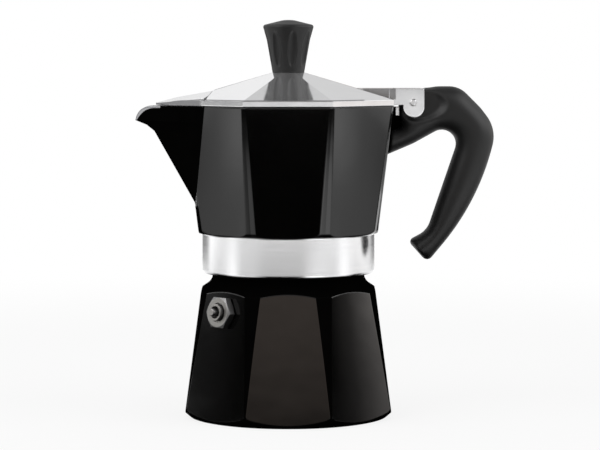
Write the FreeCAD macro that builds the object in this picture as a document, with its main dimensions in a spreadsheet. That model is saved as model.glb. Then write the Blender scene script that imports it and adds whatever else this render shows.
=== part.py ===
import FreeCAD, Part
import math
import os
import re

import Sketcher

# Sizes in millimetres and degrees. The origin is the centre of the boiler's flat base, +Z is up,
# the handle is towards +X and the spout towards -X.
SIZES = {
    # boiler casting, whose facets are measured from the axis to the middle of a flat
    "boiler_foot_r": 44.6,
    "boiler_foot_flare": 4.3,
    "boiler_foot_z": 3.7,
    "boiler_foot_rounding": 2.0,
    "boiler_facet_low": 41.35,
    "boiler_facet_high": 35.15,
    "boiler_shoulder_r": 36.8,
    "boiler_shoulder_z": 51.2,
    "boiler_wall": 3.0,
    "boiler_floor": 3.5,
    "boiler_floor_rounding": 6.0,
    "shoulder_rise": 4.1,
    "neck_r": 30.7,
    "neck_height": 15.1,
    "neck_rounding": 5.0,
    "neck_chamfer": 0.6,
    "neck_wall": 2.95,
    # screw thread between boiler and upper chamber
    "thread_pitch": 3.0,
    "thread_depth": 1.2,
    "thread_root_width": 1.6,
    "thread_crest_width": 0.8,
    "thread_start_below_top": 8.5,
    "thread_turns": 2.0,
    "thread_clearance": 0.45,
    "thread_overlap": 0.3,
    # safety valve, measured along its own axis from the facet it sits on
    "valve_drop": 7.0,
    "valve_flats": 12.0,
    "valve_hex_height": 3.0,
    "valve_hex_chamfer": 0.6,
    "valve_washer_r": 5.7,
    "valve_washer_thickness": 0.6,
    "valve_shank_r": 4.0,
    "valve_shank_length": 7.0,
    "valve_groove_r": 3.9,
    "valve_groove_width": 0.6,
    "valve_groove_depth": 1.4,
    "valve_boss_proud": 1.5,
    "valve_recess_r": 2.5,
    "valve_recess_depth": 2.0,
    "valve_web": 1.8,
    "valve_bore_r": 2.6,
    "valve_stem_r": 1.1,
    "valve_head_r": 2.1,
    "valve_head_height": 1.0,
    "valve_tip_r": 1.5,
    "valve_tip_height": 4.4,
    "valve_tip_rounding": 0.5,
    "valve_retainer_r": 2.3,
    "valve_retainer_thickness": 0.7,
    "valve_rivet_length": 0.5,
    "spring_wire": 0.4,
    "spring_mean_r": 1.85,
    "spring_turns": 4.0,
    "spring_length": 3.9,
    # coffee funnel and its strainer
    "funnel_flange_overhang": 0.7,
    "funnel_flange": 1.0,
    "funnel_clearance": 0.45,
    "funnel_wall": 0.8,
    "funnel_depth": 20.0,
    "funnel_ledge": 1.2,
    "funnel_cone_drop": 15.0,
    "funnel_tube_r": 4.6,
    "funnel_tube_gap": 3.5,
    "plate_thickness": 0.8,
    "hole_r": 0.6,
    "hole_pitch": 3.7,
    # gasket and filter plate
    "gasket_clearance": 0.35,
    "gasket_width": 5.7,
    "gasket_thickness": 4.0,
    "filter_clearance": 0.3,
    "filter_rim": 0.8,
    "filter_rounding": 1.2,
    # upper chamber casting
    "collar_wall": 2.65,
    "collar_depth": 17.0,
    "collar_rounding": 1.0,
    "collar_lead_in": 0.8,
    "chamber_skirt": 0.9,
    "chamber_floor": 3.0,
    "chamber_facet_low": 35.9,
    "chamber_facet_high": 42.0,
    "chamber_edge_low": 38.0,
    "chamber_edge_high": 45.1,
    "chamber_base_rounding": 2.6,
    "chamber_floor_rounding": 4.0,
    "chamber_height": 51.6,
    "chamber_wall": 2.4,
    "under_dish_r": 24.5,
    "under_dish_rise": 1.4,
    # pouring spout, measured down from the rim and out from the chamber's flats
    "spout_root_drop": 40.6,
    "spout_root_out": 0.2,
    "spout_bend_drop": 10.5,
    "spout_bend_out": 12.3,
    "spout_lip_drop": 8.0,
    "spout_lip_out": 15.4,
    "spout_tip_drop": 6.1,
    "spout_tip_out": 20.0,
    "spout_spread": 8.95,
    "spout_wall": 2.0,
    "spout_root_depth": 8.0,
    "lip_rake": 1.6,
    "lip_drop": 0.5,
    "lip_rounding": 6.4,
    "lip_length": 14.0,
    # riser column
    "column_spigot_r": 6.5,
    "column_flange_r": 9.0,
    "column_flange": 2.0,
    "column_base_r": 8.0,
    "column_top_r": 6.0,
    "column_height": 32.5,
    "column_top_rounding": 2.0,
    "column_bore_r": 3.2,
    "column_cap": 4.0,
    "column_outlet_r": 1.8,
    # lid, and its beak measured from the lid's flats and lower edge
    "lid_overhang": 0.2,
    "lid_gap": 0.2,
    "lid_band": 2.2,
    "lid_rise": 10.7,
    "lid_top_facet": 6.6,
    "lid_wall": 1.6,
    "beak_root_in": 14.2,
    "beak_root_rise": 6.0,
    "beak_spread": 9.2,
    "beak_shoulder_out": 5.3,
    "beak_shoulder_half": 12.6,
    "beak_ridge_out": 2.8,
    "beak_ridge_rise": 3.0,
    "beak_nose_out": 11.3,
    "beak_nose_half": 1.6,
    "beak_nose_rise": 0.8,
    "beak_side_slope": 0.076,
    # hinge between lid, handle and upper chamber, measured from its pin
    "pin_out": 8.0,
    "pin_rise": 1.2,
    "pin_r": 1.3,
    "pin_fit": 0.05,
    "pin_proud": 0.2,
    "hinge_rise": 5.6,
    "hinge_arm_length": 15.4,
    "hinge_arm_half": 6.6,
    "ear_front": 4.0,
    "ear_back": 4.4,
    "ear_drop": 5.9,
    "ear_rounding": 4.0,
    "ear_corner": 0.9,
    "ear_thickness": 2.0,
    "hinge_clearance": 0.3,
    "tongue_thickness": 2.7,
    "tongue_r": 5.8,
    "tongue_flat": 0.6,
    "tang_half": 2.5,
    "tang_r": 4.5,
    "tang_low_drop": 16.6,
    "tang_high_drop": 1.8,
    "tang_toe_out": 4.2,
    "tang_toe_drop": 8.8,
    # knob and its fixing, measured up from the lid's top
    "knob_base_r": 6.4,
    "knob_waist_r": 8.7,
    "knob_waist_rise": 13.1,
    "knob_rim_r": 10.4,
    "knob_rim_rise": 19.1,
    "knob_dome_r": 2.0,
    "knob_dome_rise": 2.1,
    "knob_rim_rounding": 1.0,
    "knob_dome_rounding": 12.0,
    "flute_turn": 12.0,
    "flute_half_height": 7.4,
    "flute_half_width": 2.2,
    "flute_depth": 1.3,
    "flute_rise": 9.6,
    "insert_r": 3.2,
    "insert_length": 9.0,
    "screw_r": 2.0,
    "screw_fit": 0.05,
    "screw_reach": 7.5,
    "screw_head_r": 3.6,
    "screw_head_height": 2.2,
    "screw_slot_width": 1.0,
    "screw_slot_depth": 1.1,
    "knob_washer_r": 4.6,
    "knob_washer_thickness": 0.8,
    # handle, whose outline is seen from the side and measured out from and below the hinge pin
    "handle_half": 8.2,
    "handle_rounding": 2.7,
    "handle_scoop_out": 13.6,
    "handle_scoop_drop": 3.2,
    "handle_scoop_rounding": 4.2,
    "handle_top_rise": 6.4,
    "handle_crest_out": 8.6,
    "handle_crest_rounding": 3.2,
    "handle_crest_length": 11.4,
    "handle_brow_rounding": 10.0,
    "handle_elbow_out": 33.8,
    "handle_elbow_drop": 11.4,
    "handle_elbow_rounding": 8.0,
    "handle_back_out": 26.7,
    "handle_back_drop": 40.4,
    "handle_back_rounding": 100.0,
    "handle_tail_out": 6.2,
    "handle_tail_drop": 65.1,
    "handle_toe_in": 1.8,
    "handle_toe_drop": 56.2,
    "handle_heel_out": 6.0,
    "handle_heel_drop": 52.0,
    "handle_heel_rounding": 9.0,
    "handle_arch_out": 22.0,
    "handle_arch_drop": 4.8,
    "handle_arch_rounding": 5.7,
    "handle_root_in": 16.2,
    "handle_root_low_drop": 23.8,
    "handle_root_high_drop": 13.1,
    "handle_arm_out": 4.3,
    "handle_arm_drop": 7.0,
    "handle_arm_depth": 9.8,
    "handle_belly_in": 4.0,
    "handle_belly_rounding": 30.0,
    "handle_fit": 0.1,
    # small clearance of pressed and screwed pieces
    "press_fit": 0.02,
}

# Places and sizes that follow from the sizes above
DERIVED = {
    # heights of the stack, from the boiler's shoulder upwards
    "boiler_base_r": "boiler_foot_r - boiler_foot_flare",
    "neck_bore_r": "neck_r - neck_wall",
    "neck_base_z": "boiler_shoulder_z + shoulder_rise",
    "neck_top_z": "neck_base_z + neck_height",
    "flange_top_z": "neck_top_z + funnel_flange",
    "underside_z": "flange_top_z + gasket_thickness",
    "collar_bottom_z": "underside_z - collar_depth",
    "chamber_bottom_z": "underside_z - chamber_skirt",
    "floor_top_z": "underside_z + chamber_floor",
    "chamber_rim_z": "chamber_bottom_z + chamber_height",
    "over_rim_z": "chamber_rim_z + lid_band",
    "boiler_lean": "(boiler_facet_low - boiler_facet_high) / (boiler_shoulder_z - boiler_foot_z)",
    "chamber_lean": "(chamber_facet_high - chamber_facet_low) / chamber_height",
    "lid_low_z": "chamber_rim_z + lid_gap",
    "lid_band_top_z": "lid_low_z + lid_band",
    "lid_top_z": "lid_band_top_z + lid_rise",
    "lid_slant": "lid_wall * sqrt(1 + (lid_rise / lid_facet)^2)",
    "lid_inner_top_z": "lid_top_z - lid_slant",
    # thread
    "thread_crest_r": "neck_r + thread_depth",
    "collar_bore_r": "thread_crest_r + thread_clearance",
    "collar_crest_r": "neck_r + thread_clearance",
    "collar_r": "collar_bore_r + collar_wall",
    "thread_start_z": "neck_top_z - thread_start_below_top",
    # safety valve, along its own axis
    "valve_z": "boiler_shoulder_z - valve_drop",
    "valve_corner_r": "valve_flats / 2 / cos(30 deg)",
    "hex_top": "valve_washer_thickness + valve_hex_height",
    "valve_boss_r": "valve_groove_r - valve_groove_width",
    "valve_boss_top": "hex_top + valve_boss_proud",
    "web_top": "hex_top - valve_recess_depth",
    "web_low": "web_top - valve_web",
    "retainer_top": "web_low - spring_length",
    "retainer_low": "retainer_top - valve_retainer_thickness",
    "valve_head_top": "web_top + valve_head_height",
    # funnel, gasket and filter plate
    "funnel_flange_r": "neck_r - funnel_flange_overhang",
    "funnel_basket_r": "neck_bore_r - funnel_clearance",
    "basket_bore_r": "funnel_basket_r - funnel_wall",
    "strainer_low_z": "flange_top_z - funnel_depth",
    "strainer_top_z": "strainer_low_z + plate_thickness",
    "cone_low_z": "strainer_low_z - funnel_cone_drop",
    "funnel_tube_end_z": "boiler_floor + funnel_tube_gap",
    "gasket_r": "collar_bore_r - gasket_clearance",
    "gasket_bore_r": "gasket_r - gasket_width",
    "filter_r": "gasket_bore_r - filter_clearance",
    "filter_low_z": "flange_top_z + plate_thickness",
    "filter_top_z": "filter_low_z + plate_thickness",
    # spout
    "spout_root_z": "chamber_rim_z - spout_root_drop",
    "spout_bend_z": "chamber_rim_z - spout_bend_drop",
    "spout_lip_z": "chamber_rim_z - spout_lip_drop",
    "spout_tip_z": "chamber_rim_z - spout_tip_drop",
    "spout_root_facet": "chamber_facet_low + (spout_root_z - chamber_bottom_z) * chamber_lean",
    "spout_root_reach": "spout_root_facet + spout_root_out",
    "spout_bend_reach": "chamber_facet_high + spout_bend_out",
    "spout_lip_reach": "chamber_facet_high + spout_lip_out",
    "spout_tip_reach": "chamber_facet_high + spout_tip_out",
    "spout_rim_reach": "spout_tip_reach + lip_rake / 2",
    "spout_crease_top_reach": "chamber_facet_high - spout_spread",
    "spout_crease_top_half": "chamber_facet_high * tan(22.5 deg) + spout_spread",
    "lip_corner_reach": "spout_tip_reach - lip_rake",
    "lip_corner_z": "chamber_rim_z - lip_drop",
    "lip_start_reach": "spout_tip_reach - lip_length",
    # column
    "column_top_z": "floor_top_z + column_height",
    "column_low_z": "underside_z + under_dish_rise",
    "column_bore_top_z": "column_top_z - column_cap",
    # lid and beak
    "lid_facet": "chamber_facet_high + lid_overhang",
    "beak_root_reach": "lid_facet - beak_root_in",
    "beak_root_z": "lid_low_z + beak_root_rise",
    "beak_wide_reach": "lid_facet - beak_spread",
    "beak_wide_half": "lid_facet * tan(22.5 deg) + beak_spread",
    "beak_shoulder_reach": "lid_facet + beak_shoulder_out",
    "beak_ridge_reach": "lid_facet + beak_ridge_out",
    "beak_ridge_z": "lid_low_z + beak_ridge_rise",
    "beak_nose_reach": "lid_facet + beak_nose_out",
    "beak_nose_z": "lid_low_z + beak_nose_rise",
    # hinge
    "pin_x": "lid_facet + pin_out",
    "pin_z": "chamber_rim_z + pin_rise",
    "hinge_top_z": "pin_z + hinge_rise",
    "ear_start_x": "lid_facet + lid_gap",
    "hinge_arm_start_x": "ear_start_x - hinge_arm_length",
    "ear_root_x": "lid_facet - lid_wall",
    "ear_cutout_x": "pin_x - ear_front",
    "ear_end_x": "pin_x + ear_back",
    "ear_bottom_z": "pin_z - ear_drop",
    "tongue_rounding": "tongue_r - tongue_flat / 2",
    "tongue_half": "tang_half + hinge_clearance + tongue_thickness",
    "ear_inner": "tongue_half + hinge_clearance",
    "ear_outer": "ear_inner + ear_thickness",
    "tang_low_z": "pin_z - tang_low_drop",
    "tang_high_z": "pin_z - tang_high_drop",
    "tang_toe_x": "pin_x + tang_toe_out",
    "tang_toe_z": "pin_z - tang_toe_drop",
    # knob
    "knob_waist_z": "lid_top_z + knob_waist_rise",
    "knob_rim_z": "lid_top_z + knob_rim_rise",
    "knob_top_z": "knob_rim_z + knob_dome_rise",
    "flute_z": "lid_top_z + flute_rise",
    "washer_low_z": "lid_inner_top_z - knob_washer_thickness",
    "head_low_z": "washer_low_z - screw_head_height",
    # handle
    "handle_scoop_x": "pin_x + handle_scoop_out",
    "handle_scoop_z": "pin_z - handle_scoop_drop",
    "handle_top_z": "pin_z + handle_top_rise",
    "handle_crest_x": "pin_x + handle_crest_out",
    "handle_brow_x": "handle_crest_x + handle_crest_length",
    "handle_elbow_x": "pin_x + handle_elbow_out",
    "handle_elbow_z": "pin_z - handle_elbow_drop",
    "handle_back_x": "pin_x + handle_back_out",
    "handle_back_z": "pin_z - handle_back_drop",
    "handle_tail_x": "pin_x + handle_tail_out",
    "handle_tail_z": "pin_z - handle_tail_drop",
    "handle_toe_x": "pin_x - handle_toe_in",
    "handle_toe_z": "pin_z - handle_toe_drop",
    "handle_heel_x": "pin_x + handle_heel_out",
    "handle_heel_z": "pin_z - handle_heel_drop",
    "handle_arch_x": "pin_x + handle_arch_out",
    "handle_arch_z": "pin_z - handle_arch_drop",
    "handle_root_x": "pin_x - handle_root_in",
    "handle_root_low_z": "pin_z - handle_root_low_drop",
    "handle_root_high_z": "pin_z - handle_root_high_drop",
    "handle_arm_x": "pin_x + handle_arm_out",
    "handle_arm_z": "pin_z - handle_arm_drop",
    "handle_belly_x": "handle_arm_x - handle_belly_in",
    "handle_belly_z": "handle_arm_z - handle_arm_depth",
}

FACET_COUNT = 8
HALF_FACET = 180.0 / FACET_COUNT
VALVE_TURN = 225.0
HEX_SIDES = 6
HOLE_RINGS = 6
HOLES_MORE_PER_RING = 6
FLUTE_COUNT = 8
THREAD_TURN = 90.0
THREAD_SEGMENT = 0.25
# The share of the spout's wall by which its hollow is drawn in at the creases, and the runs of its keel
CREASE_SHARE = 0.25
KEEL_RUNS = 3
# How near two places are to count as one
TOUCHING = 1e-6
SPOT_DIGITS = 3

doc = FreeCAD.newDocument("moka_pot")
sheet = doc.addObject("Spreadsheet::Sheet", "Sizes")
for row, (size_name, size_value) in enumerate(SIZES.items(), start=1):
    sheet.set(f"A{row}", size_name)
    sheet.set(f"B{row}", str(size_value))
    sheet.setAlias(f"B{row}", size_name)
doc.recompute()


def cells(formula):
    """The formula with each size's name pointing at its cell of the sheet."""

    def cell(word):
        name = word.group()
        if name in DERIVED:
            return f"({cells(DERIVED[name])})"
        return f"Sizes.{name}" if name in SIZES else name

    return re.sub(r"[a-z_]+", cell, formula)


def value(formula):
    """What a formula of sizes comes to."""
    result = sheet.evalExpression(cells(formula))
    return float(getattr(result, "Value", result))


def bind(item, **formulas):
    """Binds an object's properties to formulas of the sheet's sizes."""
    for name, formula in formulas.items():
        item.setExpression(name, cells(formula))
    return item


def raise_to(item, height):
    """Binds an object's height above the base to a formula."""
    item.setExpression("Placement.Base.z", cells(height))
    return item


# Sketches


def place_point(sketch, geometry, end, x, y):
    """Holds a sketch point at two formulas."""
    for kind, axis, formula in (("DistanceX", -2, x), ("DistanceY", -1, y)):
        if formula == "0":
            sketch.addConstraint(Sketcher.Constraint("PointOnObject", geometry, end, axis))
        else:
            index = sketch.addConstraint(Sketcher.Constraint(kind, geometry, end, value(formula)))
            sketch.setExpression(f"Constraints[{index}]", cells(formula))


def corner_arc(sketch, corner, before, after, radius):
    """Adds the arc that rounds a corner, and says which of its ends comes first along the outline."""
    back = (before - corner).normalize()
    ahead = (after - corner).normalize()
    half = back.getAngle(ahead) / 2
    centre = corner + (back + ahead).normalize() * (radius / math.sin(half))
    first = before - centre
    last = after - centre
    left_turn = first.cross(last).z > 0
    start, stop = (first, last) if left_turn else (last, first)
    circle = Part.Circle(centre, FreeCAD.Vector(0, 0, 1), radius)
    arc = Part.ArcOfCircle(circle, math.atan2(start.y, start.x), math.atan2(stop.y, stop.x))
    return sketch.addGeometry(arc), (1, 2) if left_turn else (2, 1)


def draw_outline(sketch, corners):
    """Draws a closed outline of straight runs. A corner is two formulas, and a third where it is rounded."""
    count = len(corners)
    spots = [FreeCAD.Vector(value(corner[0]), value(corner[1]), 0) for corner in corners]
    radii = [value(corner[2]) if len(corner) > 2 else 0 for corner in corners]
    before, after = [], []
    for index, spot in enumerate(spots):
        back = (spots[index - 1] - spot).normalize()
        ahead = (spots[(index + 1) % count] - spot).normalize()
        cut = radii[index] / math.tan(back.getAngle(ahead) / 2)
        before.append(spot + back * cut)
        after.append(spot + ahead * cut)
    runs = [
        sketch.addGeometry(Part.LineSegment(after[index], before[(index + 1) % count]))
        for index in range(count)
    ]
    for index, corner in enumerate(corners):
        arriving, leaving = runs[index - 1], runs[index]
        if not radii[index]:
            sketch.addConstraint(Sketcher.Constraint("Coincident", arriving, 2, leaving, 1))
            place_point(sketch, leaving, 1, corner[0], corner[1])
            continue
        point = sketch.addGeometry(Part.Point(spots[index]), True)
        place_point(sketch, point, 1, corner[0], corner[1])
        arc, (first_end, last_end) = corner_arc(
            sketch, spots[index], before[index], after[index], radii[index]
        )
        sketch.addConstraint(Sketcher.Constraint("PointOnObject", point, 1, arriving))
        sketch.addConstraint(Sketcher.Constraint("PointOnObject", point, 1, leaving))
        sketch.addConstraint(Sketcher.Constraint("Tangent", arriving, 2, arc, first_end))
        sketch.addConstraint(Sketcher.Constraint("Tangent", arc, last_end, leaving, 1))
        radius = sketch.addConstraint(Sketcher.Constraint("Radius", arc, radii[index]))
        sketch.setExpression(f"Constraints[{radius}]", cells(corner[2]))
    return sketch


def body_sketch(body, name, plane):
    """A sketch on one of its body's own planes."""
    sketch = body.newObject("Sketcher::SketchObject", name)
    support = next(item for item in body.Origin.OriginFeatures if item.Role == plane)
    sketch.AttachmentSupport = (support, [""])
    sketch.MapMode = "FlatFace"
    return sketch


def free_outline(name, corners, placement):
    """An outline that stands by itself, as one section of a loft or the base of an extrusion."""
    sketch = doc.addObject("Sketcher::SketchObject", name)
    sketch.Placement = placement
    return draw_outline(sketch, corners)


def turn_about(axis, angle):
    """A rotation about an axis through the origin."""
    return FreeCAD.Placement(FreeCAD.Vector(), FreeCAD.Rotation(FreeCAD.Vector(*axis), angle))


# Forms that several pieces share


def turned(name, corners):
    """A body turned about Z, from its section's corners as (radius, height, rounding)."""
    body = doc.addObject("PartDesign::Body", name)
    sketch = draw_outline(body_sketch(body, f"{name}_section", "XZ_Plane"), corners)
    solid = body.newObject("PartDesign::Revolution", f"{name}_turn")
    solid.Profile = sketch
    solid.ReferenceAxis = (sketch, ["V_Axis"])
    solid.Angle = 360
    return body


def slab(name, corners, half_width):
    """A body cut from a plate that stands along XZ and is as thick on both sides of it."""
    body = doc.addObject("PartDesign::Body", name)
    sketch = draw_outline(body_sketch(body, f"{name}_outline", "XZ_Plane"), corners)
    pad = body.newObject("PartDesign::Pad", f"{name}_pad")
    pad.Profile = sketch
    pad.Midplane = True
    bind(pad, Length=f"2 * ({half_width})")
    return body


def octagon(name, facet, height):
    """A level octagon with a flat towards each axis, from the distance of its flats."""
    ring = doc.addObject("Part::RegularPolygon", name)
    ring.Polygon = FACET_COUNT
    ring.Placement = turn_about((0, 0, 1), HALF_FACET)
    bind(ring, Circumradius=f"({facet}) / cos({HALF_FACET} deg)")
    return raise_to(ring, height)


def loft(name, sections, ruled=True):
    """A solid through level sections."""
    solid = doc.addObject("Part::Loft", name)
    solid.Sections = sections
    solid.Solid = True
    solid.Ruled = ruled
    return solid


def facets(name, levels):
    """An octagonal solid through (flat distance, height) levels."""
    return loft(name, [octagon(f"{name}_{index}", *level) for index, level in enumerate(levels)])


def cylinder(name, radius, low, high):
    """A round bar along Z."""
    bar = bind(doc.addObject("Part::Cylinder", name), Radius=radius, Height=f"({high}) - ({low})")
    return raise_to(bar, low)


def cross_bar(name, radius, half_length, x, z):
    """A round bar along Y."""
    bar = bind(doc.addObject("Part::Cylinder", name), Radius=radius, Height=f"2 * ({half_length})")
    bar.Placement = turn_about((1, 0, 0), 90)
    bar.setExpression("Placement.Base.x", cells(x))
    bar.setExpression("Placement.Base.y", cells(half_length))
    return raise_to(bar, z)


def block(name, low_x, high_x, half_y, low_z, high_z):
    """A square block that is as wide on both sides of XZ."""
    box = bind(
        doc.addObject("Part::Box", name),
        Length=f"({high_x}) - ({low_x})",
        Width=f"2 * ({half_y})",
        Height=f"({high_z}) - ({low_z})",
    )
    box.setExpression("Placement.Base.x", cells(low_x))
    box.setExpression("Placement.Base.y", cells(f"-({half_y})"))
    return raise_to(box, low_z)


def fused(name, shapes):
    """Several shapes joined."""
    whole = doc.addObject("Part::MultiFuse", name)
    whole.Shapes = shapes
    return whole


def shared(name, shapes):
    """What several shapes have in common."""
    whole = doc.addObject("Part::MultiCommon", name)
    whole.Shapes = shapes
    return whole


def cut(name, base, tool):
    """A shape without what another one takes away."""
    rest = doc.addObject("Part::Cut", name)
    rest.Base = base
    rest.Tool = tool
    return rest


def perforate(body, name, above):
    """Drills rings of holes through a level plate, from a sketch plane above it."""
    for ring in range(1, HOLE_RINGS + 1):
        sketch = body_sketch(body, f"{name}_ring_{ring}", "XY_Plane")
        sketch.setExpression("AttachmentOffset.Base.z", cells(above))
        reach = f"{ring} * hole_pitch"
        circle = sketch.addGeometry(
            Part.Circle(FreeCAD.Vector(value(reach), 0, 0), FreeCAD.Vector(0, 0, 1), value("hole_r"))
        )
        place_point(sketch, circle, 3, reach, "0")
        radius = sketch.addConstraint(Sketcher.Constraint("Radius", circle, value("hole_r")))
        sketch.setExpression(f"Constraints[{radius}]", cells("hole_r"))
        pocket = body.newObject("PartDesign::Pocket", f"{name}_hole_{ring}")
        pocket.Profile = sketch
        pocket.Type = "ThroughAll"
        doc.recompute()
        pattern = body.newObject("PartDesign::PolarPattern", f"{name}_pattern_{ring}")
        pattern.Originals = [pocket]
        pattern.Axis = (sketch, ["N_Axis"])
        pattern.Angle = 360
        pattern.Occurrences = HOLES_MORE_PER_RING * ring
        body.Tip = pattern
        doc.recompute()


def thread_ridge(name, root, crest, start):
    """One right-hand screw ridge, whose foot reaches a little into the wall that carries it."""
    inward = value(crest) < value(root)
    foot = f"({root}) {'+' if inward else '-'} thread_overlap"
    path = bind(
        doc.addObject("Part::Helix", f"{name}_path"),
        Pitch="thread_pitch",
        Height="thread_pitch * thread_turns",
        Radius=root,
        SegmentLength=str(THREAD_SEGMENT),
    )
    turn = turn_about((0, 0, 1), THREAD_TURN)
    path.Placement = turn
    raise_to(path, start)
    corners = [
        (foot, f"({start}) - thread_root_width / 2"),
        (crest, f"({start}) - thread_crest_width / 2"),
        (crest, f"({start}) + thread_crest_width / 2"),
        (foot, f"({start}) + thread_root_width / 2"),
    ]
    section = free_outline(f"{name}_section", corners, turn.multiply(turn_about((1, 0, 0), 90)))
    ridge = doc.addObject("Part::Sweep", name)
    ridge.Sections = [section]
    doc.recompute()
    ridge.Spine = (path, [f"Edge{index + 1}" for index in range(len(path.Shape.Edges))])
    ridge.Solid = True
    ridge.Frenet = True
    return ridge


# Boiler


def boiler_facet(height):
    """The boiler's flat distance at a height."""
    return f"(boiler_facet_low - (({height}) - boiler_foot_z) * boiler_lean)"


def valve_seat():
    """The valve's frame: its Z points straight out of the facet that carries it."""
    tilt = math.degrees(math.atan(value("boiler_lean")))
    reach = value(boiler_facet("valve_z"))
    lean = FreeCAD.Rotation(FreeCAD.Vector(0, 1, 0), 90 - tilt)
    swing = FreeCAD.Rotation(FreeCAD.Vector(0, 0, 1), VALVE_TURN)
    spot = swing.multVec(FreeCAD.Vector(reach, 0, value("valve_z")))
    return FreeCAD.Placement(spot, swing.multiply(lean))


def make_boiler(seat):
    section = [
        ("0", "0"),
        ("boiler_base_r", "0"),
        ("boiler_foot_r", "boiler_foot_z", "boiler_foot_rounding"),
        ("boiler_shoulder_r", "boiler_shoulder_z"),
        ("neck_r", "neck_base_z", "neck_rounding"),
        ("neck_r", "neck_top_z - neck_chamfer"),
        ("neck_r - neck_chamfer", "neck_top_z"),
        ("neck_bore_r", "neck_top_z"),
        ("neck_bore_r", "neck_base_z"),
        ("boiler_facet_high - boiler_wall", "boiler_shoulder_z - boiler_wall / 2"),
        ("boiler_facet_low - boiler_wall", "boiler_floor", "boiler_floor_rounding"),
        ("0", "boiler_floor"),
    ]
    facet_top = "(neck_base_z - neck_chamfer)"
    sides = facets("boiler_sides", [(boiler_facet("0"), "0"), (boiler_facet(facet_top), facet_top)])
    keep = cylinder("boiler_neck_room", "boiler_foot_r", facet_top, "neck_top_z + neck_chamfer")
    shell = shared("boiler_shell", [turned("boiler_turned", section), fused("boiler_room", [sides, keep])])
    ridge = thread_ridge("boiler_thread", "neck_r", "thread_crest_r", "thread_start_z")
    hole = bind(
        doc.addObject("Part::Cylinder", "valve_hole"),
        Radius="valve_shank_r + press_fit",
        Height="4 * valve_shank_length",
    )
    inward = FreeCAD.Vector(0, 0, -value("2 * valve_shank_length"))
    hole.Placement = seat.multiply(FreeCAD.Placement(inward, FreeCAD.Rotation()))
    return cut("boiler", fused("boiler_threaded", [shell, ridge]), hole)


# Safety valve


def make_valve_body(seat):
    hexagon = doc.addObject("Part::Prism", "valve_hexagon")
    bind(hexagon, Circumradius="valve_corner_r", Height="valve_hex_height")
    hexagon.Polygon = HEX_SIDES
    hexagon.Placement = turn_about((0, 0, 1), 180 / HEX_SIDES)
    raise_to(hexagon, "valve_washer_thickness")
    chamfer = turned("valve_chamfer", [
        ("0", "valve_washer_thickness"),
        ("valve_corner_r", "valve_washer_thickness"),
        ("valve_corner_r", "hex_top - valve_hex_chamfer"),
        ("valve_corner_r - 2 * valve_hex_chamfer", "hex_top"),
        ("0", "hex_top"),
    ])
    head = shared("valve_head", [hexagon, chamfer])
    shank_top = "valve_washer_thickness + valve_hex_chamfer"
    shank = cylinder("valve_shank", "valve_shank_r", "-valve_shank_length", shank_top)
    boss = cylinder("valve_boss", "valve_boss_r", "valve_washer_thickness", "valve_boss_top")
    bore = turned("valve_bore", [
        ("0", "-(valve_shank_length + valve_web)"),
        ("valve_bore_r", "-(valve_shank_length + valve_web)"),
        ("valve_bore_r", "web_low"),
        ("valve_stem_r + pin_fit", "web_low"),
        ("valve_stem_r + pin_fit", "web_top"),
        ("valve_recess_r", "web_top"),
        ("valve_recess_r", "valve_boss_top + valve_web"),
        ("0", "valve_boss_top + valve_web"),
    ])
    groove = turned("valve_groove", [
        ("valve_boss_r", "hex_top - valve_groove_depth"),
        ("valve_groove_r", "hex_top - valve_groove_depth"),
        ("valve_groove_r", "valve_boss_top"),
        ("valve_boss_r", "valve_boss_top"),
    ])
    solid = fused("valve_solid", [cut("valve_grooved", fused("valve_blank", [head, shank]), groove), boss])
    piece = cut("valve_body", solid, bore)
    piece.Placement = seat
    return piece


def make_valve_washer(seat):
    piece = turned("valve_washer", [
        ("valve_shank_r + press_fit", "0"),
        ("valve_washer_r", "0"),
        ("valve_washer_r", "valve_washer_thickness"),
        ("valve_shank_r + press_fit", "valve_washer_thickness"),
    ])
    piece.Placement = seat
    return piece


def make_valve_piston(seat):
    piece = turned("valve_piston", [
        ("0", "retainer_low - valve_rivet_length"),
        ("valve_stem_r", "retainer_low - valve_rivet_length"),
        ("valve_stem_r", "web_top"),
        ("valve_head_r", "web_top"),
        ("valve_head_r", "valve_head_top"),
        ("valve_tip_r", "valve_head_top"),
        ("valve_tip_r", "valve_head_top + valve_tip_height", "valve_tip_rounding"),
        ("0", "valve_head_top + valve_tip_height"),
    ])
    piece.Placement = seat
    return piece


def make_valve_retainer(seat):
    piece = turned("valve_retainer", [
        ("valve_stem_r + press_fit", "retainer_low"),
        ("valve_retainer_r", "retainer_low"),
        ("valve_retainer_r", "retainer_top"),
        ("valve_stem_r + press_fit", "retainer_top"),
    ])
    piece.Placement = seat
    return piece


def biarc(start, start_way, end, end_way):
    """Two arcs that join two points along their directions."""
    span = end - start
    ways = start_way + end_way
    turn = 2 * (1 - start_way.dot(end_way))
    along = span.dot(ways)
    reach = (math.sqrt(along * along + turn * span.dot(span)) - along) / turn
    first_corner = start + start_way * reach
    last_corner = end - end_way * reach
    joint = (first_corner + last_corner) * 0.5
    return [corner_to_arc(start, first_corner, joint), corner_to_arc(joint, last_corner, end)]


def corner_to_arc(start, corner, end):
    """The arc that touches both runs of a corner at its ends."""
    middle = (start + end) * 0.5
    rise = corner - middle
    half_chord = (end - start).Length / 2
    sagitta = half_chord * math.tan(math.atan(rise.Length / half_chord) / 2)
    return Part.Arc(start, middle + rise.normalize() * sagitta, end).toShape()


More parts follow.
